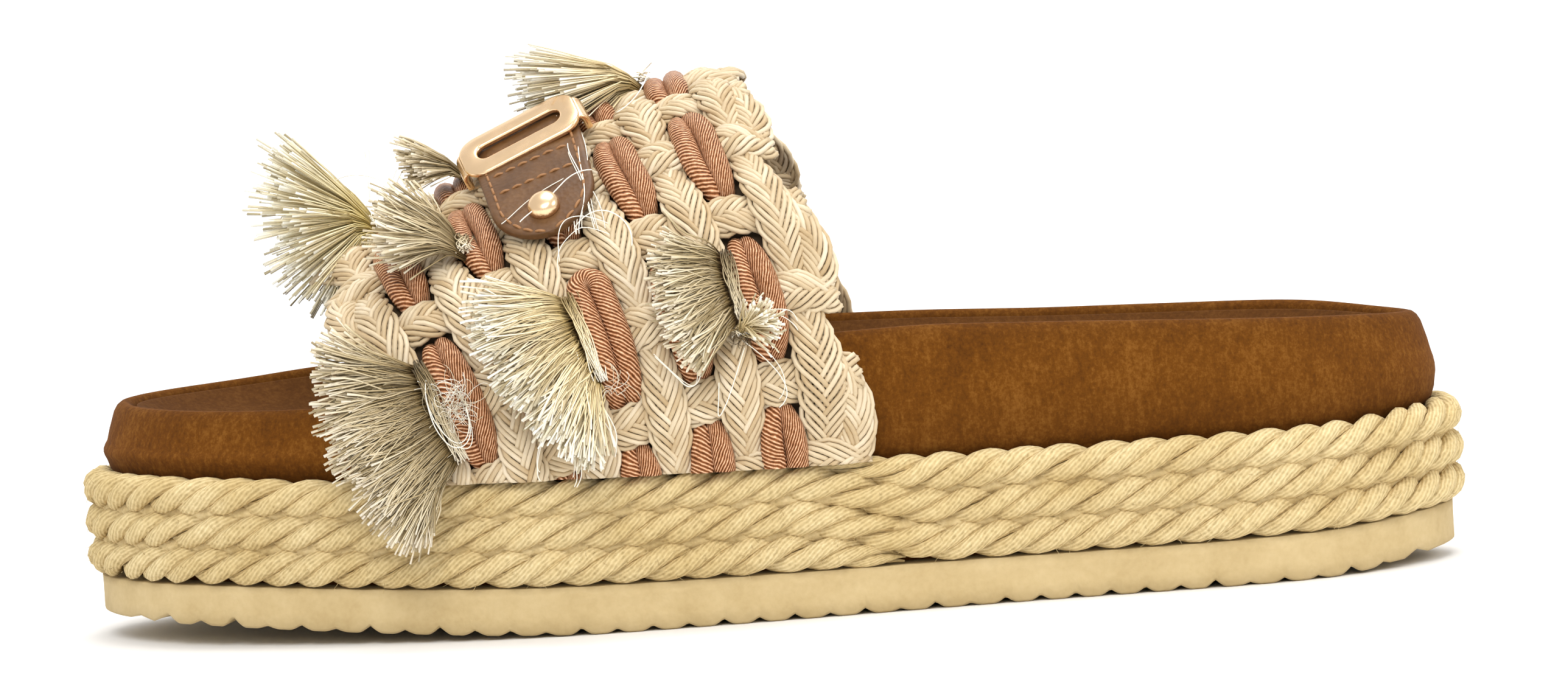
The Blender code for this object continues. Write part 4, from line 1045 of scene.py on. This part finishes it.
# Sections of the plate, the rivet and the fold: (share of the way in or of the radius, share of the height)
plateSection = ((0.0, 0.3), (0.0, 0.75), (0.05, 0.93), (0.14, 1.0), (0.5, 1.03), (0.86, 1.0), (0.95, 0.93),
                (1.0, 0.75), (1.0, 0.3), (0.93, 0.05), (0.8, 0.0), (0.5, 0.0), (0.2, 0.0), (0.07, 0.05))
rivetSection = ((0.96, 0.0), (1.0, 0.1), (1.0, 0.3), (0.95, 0.5), (0.85, 0.7), (0.68, 0.86), (0.45, 0.95),
                (0.2, 1.0), (0.02, 1.01))
foldSection = ((0.9, 1.5), (1.0, 1.1), (1.0, 0.5), (0.93, 0.1), (0.5, 0.0), (0.04, 0.0))


def columnAtX(x, row):
    # The column whose line passes through x in a row
    x, row = np.broadcast_arrays(np.asarray(x, float), np.asarray(row, float))
    flat = [np.interp(-a, -wallAt(chartColumns, np.full(len(chartColumns), b))[:, 0], chartColumns)
            for a, b in zip(x.ravel(), row.ravel())]
    return np.array(flat).reshape(x.shape)


def leatherHalf(row):
    # Half width of the strip: a circle's end, then a slow swell toward the middle
    away = np.minimum(row - buckle["tipOuter"], buckle["tipInner"] - row) * weave["rowLength"]
    end = np.sqrt(np.clip(1.0 - np.clip(1.0 - away / buckle["half"], 0.0, 1.0) ** 2, 0.0, 1.0))
    return buckle["half"] * end + buckle["swell"] * soft(away / 30.0)


def stripX(row):
    # Middle line of the strip, which leans toward the heel below the plate
    return buckle["x"] + buckle["lean"] * np.maximum(buckle["plateRow"] - np.asarray(row, float), 0.0)


def onStrip(side, row, lift):
    # side is millimetres toward the heel from the strip's middle line
    return onWall(columnAtX(stripX(row) + side, row), row, lift)


def leatherMaterial():
    # Oiled cowhide with a fine pebbled grain and a soft polish
    material, tree, shader = newMaterial("brown cowhide, oiled", {
        "Base Color": toLinear("#4f3117"), "Roughness": 0.45, "Specular IOR Level": 0.35})
    where = objectPlace(tree)
    tone = addSum(tree, (0.7, addNoise(tree, where, 7.0, 4.0)), (0.3, addNoise(tree, where, 0.9, 2.0)))
    paint(tree, shader, addRamp(tree, tone, buckle["colours"]))
    grain = addNode(tree, "ShaderNodeTexVoronoi", {"Scale": 1000.0 / 0.9}, {"Vector": where})
    addBump(tree, shader, grain.outputs["Distance"], 0.1, 0.5)
    return material


def goldMaterial():
    # Rose gold plated zinc, polished: a clear mirror softened by fine wear
    material, tree, shader = newMaterial("rose gold plate, polished", {
        "Base Color": toLinear("#f6d3a8"), "Metallic": 1.0, "Roughness": 0.24})
    wear = addNoise(tree, objectPlace(tree), 2.5, 4.0)
    rough = addNode(tree, "ShaderNodeMapRange", {3: 0.16, 4: 0.34}, {0: wear}).outputs[0]
    tree.links.new(rough, shader.inputs["Roughness"])
    return material


def buildStrap(material):
    # Sections across the strip; side = half * sin(quarter turn * u), rounded off at both edges
    share = 0.5 - 0.5 * np.cos(np.pi * np.linspace(0.0, 1.0, 64))
    rows = buckle["tipOuter"] + 0.004 + (buckle["tipInner"] - buckle["tipOuter"] - 0.008) * share
    u = np.sin(0.5 * np.pi * np.linspace(-1.0, 1.0, 23))
    half = leatherHalf(rows)
    inside = np.clip(1.0 - half[:, None] * (1.0 - np.abs(u)[None]) / buckle["edge"], 0.0, 1.0)
    drop = buckle["edge"] * (1.0 - np.sqrt(1.0 - inside ** 2))
    side = half[:, None] * u[None]
    r = np.broadcast_to(rows[:, None], side.shape)
    upper = onStrip(side, r, buckle["lift"] + buckle["thick"] - drop)
    lower = onStrip(side, r, buckle["lift"] + drop * 0.6)
    rings = np.concatenate([upper, lower[:, ::-1]], axis=1)
    makePiece("leatherStrip", [loft(rings)], material, ["buckle_strap"])


def buildStitches():
    # Lock stitches along a line inside the edge, and two rows across the outer tab
    fine = np.linspace(buckle["tipOuter"] + 0.02, buckle["tipInner"] - 0.02, 1600)
    inset = leatherHalf(fine) - buckle["stitchIn"]
    ok = inset > 0.6
    paths = [(sign * inset[ok], fine[ok]) for sign in (-1.0, 1.0)]
    for row in buckle["stitchRows"]:
        width = float(leatherHalf(np.array(row))) - 2.4
        paths.append((np.linspace(-width, width, 200), np.full(200, row)))
    for row in (float(fine[ok][0]), float(fine[ok][-1])):
        width = float(inset[ok][0])
        paths.append((np.linspace(-width, width, 40), np.full(40, row)))
    lines, aims = [], []
    arc = np.sin(np.pi * np.linspace(0.0, 1.0, 6))
    for side, row in paths:
        length = walkedLength(np.stack([side, row * weave["rowLength"]], 1))
        for start in np.arange(0.3, length[-1] - buckle["stitchLength"], buckle["stitchStep"]):
            at = start + np.linspace(0.0, buckle["stitchLength"], 6)
            a, b = np.interp(at, length, side), np.interp(at, length, row)
            lines.append(onStrip(a, b, buckle["lift"] + buckle["thick"] - 0.16 + 0.34 * arc))
            aims.append(wallFrame(columnAtX(stripX(b) + a, b), b)[2])
    material = newMaterial("waxed tan thread", {"Base Color": toLinear("#94673c"), "Roughness": 0.6})[0]
    stitches = sweep(lines, buckle["stitchRadius"], np.array(aims), 6)
    makePiece("strapStitches", [stitches], material)


def roundedOblong(length, width, corner, count):
    # Oblong with round corners
    a, b = 0.5 * length - corner, 0.5 * width - corner
    angle = np.linspace(0.0, 0.5 * np.pi, count)
    parts = []
    for turn, (cx, cy) in enumerate(((a, b), (-a, b), (-a, -b), (a, -b))):
        t = angle + turn * 0.5 * np.pi
        parts.append(np.stack([cx + corner * np.cos(t), cy + corner * np.sin(t)], 1))
    return np.vstack(parts)


def buildPlate(gold, leather):
    # A closed frame: its section goes round from the outer outline over the top to the slot and back under.
    # Each point is outer * (1 - a) + slot * a, its height bent down by the square of its place across.
    row = np.array(buckle["plateRow"])
    c = columnAtX(stripX(row), row)
    across, along, out = wallFrame(c, row)
    toe = unit(-across * np.sign(across[0]))
    toe = unit(toe - out * np.dot(toe, out))
    side = np.cross(out, toe)
    tilt = math.radians(buckle["plateTilt"]) * (1.0 if side[1] < 0 else -1.0)
    side, out = (side * math.cos(tilt) - out * math.sin(tilt), out * math.cos(tilt) + side * math.sin(tilt))
    centre = onWall(c, row, np.array(buckle["plateLift"]))

    def laid(flat, up):
        bend = -buckle["plateBend"] * flat[:, 1] ** 2
        return centre + flat[:, :1] * toe + flat[:, 1:] * side + (up + bend)[:, None] * out

    outline = roundedOblong(buckle["plateLength"], buckle["plateWidth"], buckle["plateCorner"], 12)
    slot = roundedOblong(buckle["slotLength"], buckle["slotWidth"], buckle["slotCorner"], 12)
    rings = np.array([laid(outline * (1 - a) + slot * a, up * buckle["plateThick"])
                      for a, up in plateSection])
    m, n = rings.shape[:2]
    points = rings.reshape(-1, 3)
    quads = gridFaces(m + 1, n, True) % (m * n)
    if signedVolume(points, quads) < 0:
        quads = quads[:, ::-1]
    plate = [points, [quads], [np.zeros(quads.shape + (2,))]]
    # Bent ends: the short sides turn down and grip the strip
    t = np.linspace(0.0, 1.0, 14)
    reach = 11.2 + 1.5 * np.sin(np.minimum(t * 2.2, 1.0) * 0.5 * np.pi)
    fall = buckle["plateThick"] * 0.5 - 4.2 * soft(t)
    legs = []
    for sign in (-1.0, 1.0):
        ring = []
        for r, f, k in zip(reach, fall, t):
            flat = roundedOblong(1.5, 2 * (3.6 - 0.8 * k), 0.6, 4)
            ring.append(centre + (sign * r + flat[:, :1] * 0.9) * toe + flat[:, 1:] * side + f * out)
        legs.append(loft(ring))
    makePiece("goldPlate", [plate] + legs, gold, ["buckle_plate"])
    # The leather folds over behind the slot
    back = roundedOblong(buckle["backLength"], buckle["backWidth"], 2.0, 8)
    fold = [laid(back * share, -0.15 - 2.0 * down) for share, down in foldSection]
    makePiece("leatherFold", [loft(fold)], leather)


def buildRivets(material):
    # Domes on the ends of the strip
    turn = 2.0 * np.pi * np.arange(36) / 36
    parts = []
    for row in buckle["rivetRows"]:
        c = columnAtX(stripX(row), row)
        across, along, out = wallFrame(c, np.array(row))
        centre = onWall(c, np.array(row), np.array(buckle["lift"] + buckle["thick"] - 0.1))
        disc = np.cos(turn)[:, None] * across + np.sin(turn)[:, None] * np.cross(out, across)
        parts.append(loft([centre + disc * buckle["rivetRadius"] * radius + out * buckle["rivetHeight"] * up
                           for radius, up in rivetSection]))
    makePiece("domedRivets", parts, material, ["rivet_outer", "rivet_inner"])


# Fringes of cut yarn. Each row: piece, CAD node, column and row of its root, half of the root's width,
# angles of the first and last thread from the toe direction toward the sole, length, rise, yarn, threads
fringes = {
    "columns": ("name", "node", "column", "row", "half", "first", "last", "length", "rise", "yarn", "count"),
    "rows": (
        ("fringeToeOuter", "fringe_toe_outer", 5.34, -4.42, 9.5, -36.0, 33.0, 20.0, 0.12, "grey", 720),
        ("fringeMiddleOuter", "fringe_middle_outer", 3.36, -4.40, 8.5, -20.0, 68.0, 18.5, 0.14, "pale", 780),
        ("fringeHeelOuter", "fringe_heel_outer", 1.39, -4.30, 6.5, -12.0, 44.0, 14.5, 0.12, "grey", 560),
        ("fringeHeelBurst", None, 1.50, -4.85, 1.0, 130.0, 240.0, 9.0, 0.10, "pale", 110),
        ("fringeFrontLow", "fringe_front_low", 4.16, -2.56, 2.2, -66.0, -8.0, 15.5, 0.16, "grey", 380),
        ("fringeFrontTop", "fringe_front_top", 5.00, -0.52, 3.4, -46.0, 50.0, 21.5, 0.05, "yellow", 720),
        ("fringeCrown", "fringe_crown", 1.22, 0.00, 3.2, -20.0, 24.0, 24.0, 0.0, "pale", 600),
        ("fringeBesideBuckle", None, 3.72, -0.66, 2.2, -20.0, 24.0, 10.0, 0.22, "grey", 240),
        ("fringeToeInner", "fringe_toe_inner", 5.36, 3.60, 8.0, -30.0, 64.0, 20.5, 0.12, "grey", 460),
        ("fringeMiddleInner", "fringe_middle_inner", 3.34, 3.68, 8.0, 8.0, 76.0, 19.5, 0.14, "pale", 460),
        ("fringeHeelInner", "fringe_heel_inner", 1.42, 3.60, 7.5, -25.0, 50.0, 18.5, 0.08, "grey", 460),
    ),
    # Bushy ones also spread out of the wall's plane, by these angles in degrees
    "bushy": {"fringeFrontTop": (-40.0, 68.0), "fringeCrown": (-30.0, 27.0),
              "fringeBesideBuckle": (-2.0, 44.0),
              "fringeFrontLow": (-2.0, 24.0), "fringeHeelBurst": (5.0, 60.0)},
    "threadRadius": 0.15, "rootLift": 5.2, "layer": 2.4, "locks": 17, "bindingThreads": 26,
    "tones": ((0.0, "#a39677"), (0.3, "#ded6c2"), (0.65, "#fbf8f0"), (1.0, "#ffffff")),
    "yarns": {
        "grey": ((0.0, "#4e3e22"), (0.14, "#927e59"), (0.45, "#c8b793"), (0.85, "#e2d5b8"), (1.0, "#f8eedb")),
        "pale": ((0.0, "#7a6334"), (0.14, "#c6b07e"), (0.4, "#f0e0b8"), (0.85, "#faf0d8"), (1.0, "#fffcf2")),
        "yellow": ((0.0, "#8d7733"), (0.15, "#d9c57c"), (0.45, "#f6ebc2"), (0.85, "#f9f0d4"),
                   (1.0, "#fffdf2")),
    },
}


def yarnMaterial(kind):
    # Untwisted viscose yarn: fine glossy threads, darker toward the root and lighter toward the cut ends
    colours = fringes["yarns"][kind]
    material, tree, shader = newMaterial(kind + " viscose fringe", {
        "Base Color": toLinear(colours[2][1]), "Roughness": 0.42, "Specular IOR Level": 0.5})
    numbers = pieceNumbers(tree)
    along = addRamp(tree, numbers[1], colours)
    paint(tree, shader, multiplyColours(tree, along, addRamp(tree, numbers[0], fringes["tones"])))
    return material


def fringeFrame(column, row):
    # Root centre, direction to the toe, down toward the sole and straight out
    across, along, out = wallFrame(np.array(column), np.array(row))
    toe = unit(across)
    down = along if row > 0 else -along
    down = unit(down - toe * np.dot(down, toe))
    return wallAt(np.array(column), np.array(row)), toe, down, out


def buildFringe(item, seed, material):
    # Thread: root + aim * length * t + out * (lift + rise * length * t) with a small wave and a droop;
    # threads leave the root in combed locks, so their angles gather round a few values
    draw = np.random.default_rng(seed)
    n = item["count"]
    root, toe, down, out = fringeFrame(item["column"], item["row"])
    share = draw.random(n)
    # Each thread belongs to a lock with its own turn, bend and length, so tufts and gaps form as in real yarn
    locks = fringes["locks"] + int(item["half"])
    member = np.minimum((share * locks).astype(int), locks - 1)
    lockTurn, lockBend = draw.normal(0.0, 4.5, locks), draw.normal(0.0, 1.5, locks)
    lockReach = draw.uniform(0.84, 1.04, locks)
    angle = item["first"] + (item["last"] - item["first"]) * share
    angle = np.radians(angle + lockTurn[member] + draw.normal(0.0, 5.0, n))
    aim = np.cos(angle)[:, None] * toe + np.sin(angle)[:, None] * down
    start = root + ((share - 0.5) * 2.0 * item["half"])[:, None] * down
    reach = item["length"] * lockReach[member] * draw.uniform(0.78, 1.08, n)
    layer = draw.random(n)
    t = np.linspace(0.0, 1.0, 8)
    if item["name"] in fringes["bushy"]:
        low, high = np.radians(fringes["bushy"][item["name"]])
        rising = low + (high - low) * layer
        aim = aim * np.cos(rising)[:, None] + out * np.sin(rising)[:, None]
    lift = fringes["rootLift"] + 0.4 + layer[:, None] * fringes["layer"] * (0.35 + 0.9 * t[None])
    lift = lift + 2.0 * soft(t / 0.3)[None] + item["rise"] * reach[:, None] * t[None] * 1.1
    lift = lift - 2.2 * (1.0 - soft(t / 0.12))[None] * (1.0 - 0.5 * layer[:, None])
    sideways = np.cross(out, aim)
    wave = draw.normal(0.0, 0.55, (n, 1)) * np.sin(np.pi * t[None] * draw.uniform(0.8, 2.6, (n, 1)))
    bend = (lockBend[member][:, None] + draw.normal(0.0, 1.1, (n, 1))) * t[None] ** 2
    lines = (start[:, None] + aim[:, None] * (reach[:, None] * t[None])[..., None] + out * lift[..., None]
             + sideways[:, None] * (wave + bend)[..., None])
    lines[..., 2] -= (0.7 * t ** 2)[None]
    radius = fringes["threadRadius"] * draw.uniform(0.7, 1.5, (n, 1)) * (0.85 + 0.75 * t[None] ** 6)
    tone = np.broadcast_to(draw.random((n, 1)), (n, len(t)))
    threads = sweep(lines, radius, np.array([0.21, 0.33, 0.92]), 3, tone)
    parts = [threads, buildBinding(item["half"], root, toe, down, out, draw)]
    makePiece(item["name"], parts, material, [item["node"]] if item["node"] else [])


def buildBinding(half, root, toe, down, out, draw):
    # Pale threads that run along the root and hold the fringe
    n = fringes["bindingThreads"]
    t = np.linspace(-1.0, 1.0, 14)
    place = draw.normal(0.0, 0.6, (n, 1))
    height = fringes["rootLift"] + 1.2 + draw.uniform(0.0, 1.8, (n, 1))
    swing = 0.5 * np.sin(t[None] * draw.uniform(2.0, 5.0, (n, 1)) + draw.uniform(0.0, 6.0, (n, 1)))
    run = half * draw.uniform(0.85, 1.1, (n, 1))
    lines = (root + down * (t[None] * run)[..., None] + toe * (place + swing - 0.5)[..., None]
             + out * (height + 0.5 * swing)[..., None])
    return sweep(lines, fringes["threadRadius"], out, 3, 0.9)


def buildFringes():
    materials = {kind: yarnMaterial(kind) for kind in fringes["yarns"]}
    for number, row in enumerate(fringes["rows"]):
        item = dict(zip(fringes["columns"], row))
        buildFringe(item, 20 + number, materials[item["yarn"]])
    buildLoose(looseMaterial())


# Loose white threads and tangles that the fringes shed. Tangles: column, row, lift, size, count, tone;
# strays are runs of (column, row, lift) that a smooth thread passes near, with how many go together
loose = {
    "tangles": ((5.10, -4.45, 7.6, 3.6, 90, 0.9), (1.44, -4.92, 7.2, 1.5, 60, 0.05),
                (3.22, -5.05, 7.0, 3.0, 14, 0.9)),
    "strays": (
        (5, ((2.28, -1.35, 7.5), (2.36, -1.9, 8.5), (2.53, -2.4, 8.6), (2.7, -2.8, 8.2), (2.83, -3.1, 7.0))),
        (4, ((2.32, -1.45, 7.0), (2.50, -2.1, 8.8), (2.55, -2.6, 8.2), (2.62, -3.2, 7.4))),
        (1, ((2.45, -2.15, 8.5), (2.95, -2.35, 9.8), (3.3, -2.5, 9.9), (3.66, -2.62, 9.8))),
        (1, ((2.83, -3.05, 7.4), (2.45, -3.0, 8.8), (2.28, -3.2, 8.5), (2.34, -3.5, 7.4))),
        (2, ((3.25, -3.5, 7.0), (3.05, -3.2, 9.0), (2.8, -3.1, 9.0), (2.5, -3.25, 7.5))),
        (3, ((3.62, -4.5, 7.5), (3.85, -5.0, 8.4), (3.95, -5.5, 8.0), (4.12, -5.95, 7.6))),
        (2, ((3.5, -4.6, 7.5), (3.5, -5.1, 8.4), (3.42, -5.5, 8.2), (3.44, -5.8, 7.4))),
        (2, ((3.7, -4.4, 8.0), (4.0, -4.9, 8.6), (4.35, -5.4, 8.2), (4.5, -5.7, 7.8))),
        (2, ((2.6, -4.85, 7.0), (2.45, -5.15, 8.4), (2.25, -5.3, 8.2), (2.1, -4.95, 7.4))),
        (2, ((1.5, -4.9, 7.5), (1.25, -5.2, 8.6), (1.1, -5.5, 8.0), (1.25, -5.75, 7.2))),
        (2, ((1.42, -4.8, 7.5), (1.1, -4.7, 8.8), (0.85, -4.75, 8.4), (0.75, -4.9, 7.5))),
        (1, ((1.45, -5.0, 7.6), (1.7, -5.4, 8.4), (1.95, -5.7, 8.0), (1.9, -5.3, 7.6))),
        (3, ((5.2, -4.1, 7.5), (5.35, -4.6, 8.8), (5.15, -4.9, 8.8), (4.95, -4.5, 8.0))),
        (2, ((4.3, -2.4, 7.5), (4.5, -1.6, 9.5), (4.55, -0.9, 11.0), (4.35, -0.4, 13.0))),
        (2, ((4.9, -1.6, 8.0), (4.95, -0.9, 11.0), (4.8, -0.4, 15.0), (4.7, -0.2, 19.0))),
        (1, ((4.7, -1.5, 8.0), (4.6, -0.9, 12.0), (4.9, -0.5, 16.0), (5.3, -0.3, 17.0))),
        (1, ((1.3, 0.1, 7.5), (1.0, -0.5, 10.0), (1.3, -1.0, 9.0), (1.7, -1.2, 7.4))),
        (1, ((2.35, -2.45, 9.0), (2.7, -2.55, 10.0), (3.1, -2.75, 10.0), (3.4, -2.9, 9.6))),
        (1, ((2.9, 3.4, 7.0), (2.6, 3.9, 8.6), (2.8, 4.4, 8.0), (3.1, 4.7, 7.4))),
    ),
    "strayRadius": 0.095, "tangleRadius": 0.06,
    "colours": ((0.0, "#3a2e18"), (0.4, "#8d7a55"), (0.8, "#e3d8bd"), (1.0, "#faf6ea")),
}


def looseMaterial():
    # The same viscose, drawn out into single fibres; the map's first number is each thread's tone
    material, tree, shader = newMaterial("loose viscose threads", {
        "Base Color": toLinear("#f3ecd8"), "Roughness": 0.5, "Specular IOR Level": 0.4})
    paint(tree, shader, addRamp(tree, pieceNumbers(tree)[0], loose["colours"]))
    return material


def buildLoose(material):
    # Tangle: short arcs round random points of a ball. Stray: a cubic curve near its four or five places,
    # with small waves added.
    draw = np.random.default_rng(41)
    parts = []
    t = np.linspace(0.0, 1.0, 9)
    for column, row, lift, size, count, tone in loose["tangles"]:
        root, toe, down, out = fringeFrame(column, row)
        seed = draw.normal(0.0, 0.42, (count, 3)) * np.array([size, size, 0.5 * size])
        first = unit(draw.normal(0.0, 1.0, (count, 3)) * np.array([1.0, 1.0, 0.6]))
        second = unit(np.cross(first, draw.normal(0.0, 1.0, (count, 3))))
        length = draw.uniform(0.5, 1.15, (count, 1)) * size
        angle = (draw.uniform(0.6, 2.8, (count, 1)) * t[None])[..., None]
        arc = length[..., None] * (np.sin(angle) * first[:, None] + (1 - np.cos(angle)) * second[:, None])
        flat = seed[:, None] + arc
        flat[..., 2] = np.abs(flat[..., 2])
        lines = root + out * lift + flat @ np.stack([toe, down, out])
        shade = np.clip(tone + draw.normal(0.0, 0.12, (count, 1)), 0.0, 1.0)
        parts.append(sweep(lines, loose["tangleRadius"], out, 3, shade))
    fine = np.linspace(0.0, 1.0, 40)
    for together, places in loose["strays"]:
        knots = np.array(places)
        at = np.linspace(0.0, 1.0, len(knots))
        column, row, lift = (np.polyval(np.polyfit(at, knots[:, k], 3), fine) for k in range(3))
        for n in range(together):
            shift = draw.normal(0.0, 1.0, 3) * np.array([0.035, 0.05, 0.4])
            wave = 0.025 * np.sin(fine * draw.uniform(4.0, 9.0) + draw.uniform(0.0, 6.0))
            c = column + shift[0] + wave
            r = row + shift[1] + 0.7 * wave
            line = onWall(c, r, lift + shift[2])
            radius = loose["strayRadius"] * draw.uniform(0.8, 1.3)
            parts.append(sweep(line[None], radius, wallFrame(c, r)[2][None], 5, 0.95))
    makePiece("looseThreads", parts, material)


# White floor that sweeps up behind, and soft studio lamps
studio = {
    "floorColour": "#efefef", "worldColour": "#ffffff", "worldStrength": 0.8,
    "flatTo": 3.2, "bendRadius": 0.8, "wallTop": 5.0, "halfWidth": 6.0,
    "glowFrom": 0.4, "glowTo": 2.4, "glow": 0.45,
    "lamps": (
        ("front", (-0.15, -1.4, 1.2), 0.8, 17.0), ("top", (0.1, 0.2, 1.6), 1.0, 16.0),
        ("side", (1.3, -0.6, 0.9), 0.6, 6.0),
    ),
}


def buildStudio():
    # Flat floor, a quarter round and a wall behind every view's camera
    flat, bend = studio["flatTo"], studio["bendRadius"]
    profile = [(-3.5, 0.0), (flat, 0.0)]
    profile += [(flat + bend * math.sin(a), bend - bend * math.cos(a))
                for a in np.linspace(0.0, 0.5 * math.pi, 24)[1:]]
    profile += [(flat + bend, studio["wallTop"])]
    n = len(profile)
    points = [(x, y, z) for x in (-studio["halfWidth"], studio["halfWidth"]) for y, z in profile]
    mesh = bpy.data.meshes.new("studioFloor")
    mesh.from_pydata(points, [], [(n + i, n + i + 1, i + 1, i) for i in range(n - 1)])
    material, tree, shader = newMaterial("matte white sweep", {
        "Base Color": toLinear(studio["floorColour"]), "Roughness": 0.95, "Specular IOR Level": 0.1,
        "Emission Color": toLinear("#ffffff")})
    # The wall is far from the lamps, so the sweep starts to glow a little way behind the shoe
    depth = addNode(tree, "ShaderNodeSeparateXYZ", None, {0: objectPlace(tree)}).outputs[1]
    reach = {1: studio["glowFrom"], 2: studio["glowTo"], 3: 0.0, 4: studio["glow"]}
    glow = addNode(tree, "ShaderNodeMapRange", reach, {0: depth}).outputs[0]
    tree.links.new(glow, shader.inputs["Emission Strength"])
    mesh.materials.append(material)
    floor = bpy.data.objects.new("studioFloor", mesh)
    bpy.context.scene.collection.objects.link(floor)
    world = bpy.data.worlds.new("studioWorld")
    world.use_nodes = True
    sky = world.node_tree.nodes["Background"]
    sky.inputs["Color"].default_value = toLinear(studio["worldColour"])
    sky.inputs["Strength"].default_value = studio["worldStrength"]
    bpy.context.scene.world = world
    for name, spot, size, watts in studio["lamps"]:
        data = bpy.data.lights.new(name, "AREA")
        data.energy = watts
        data.size = size
        lamp = bpy.data.objects.new(name, data)
        lamp.location = spot
        lamp.rotation_euler = (-Vector(spot)).to_track_quat("-Z", "Y").to_euler()
        bpy.context.scene.collection.objects.link(lamp)
    print("made the studio")


buildStudio()
buildOutsole()
buildFootbed()
buildInsole()
buildRope()
buildLining()
buildBraids()
buildCopper()
leather, gold = leatherMaterial(), goldMaterial()
buildStrap(leather)
buildStitches()
buildPlate(gold, leather)
buildRivets(gold)
buildFringes()
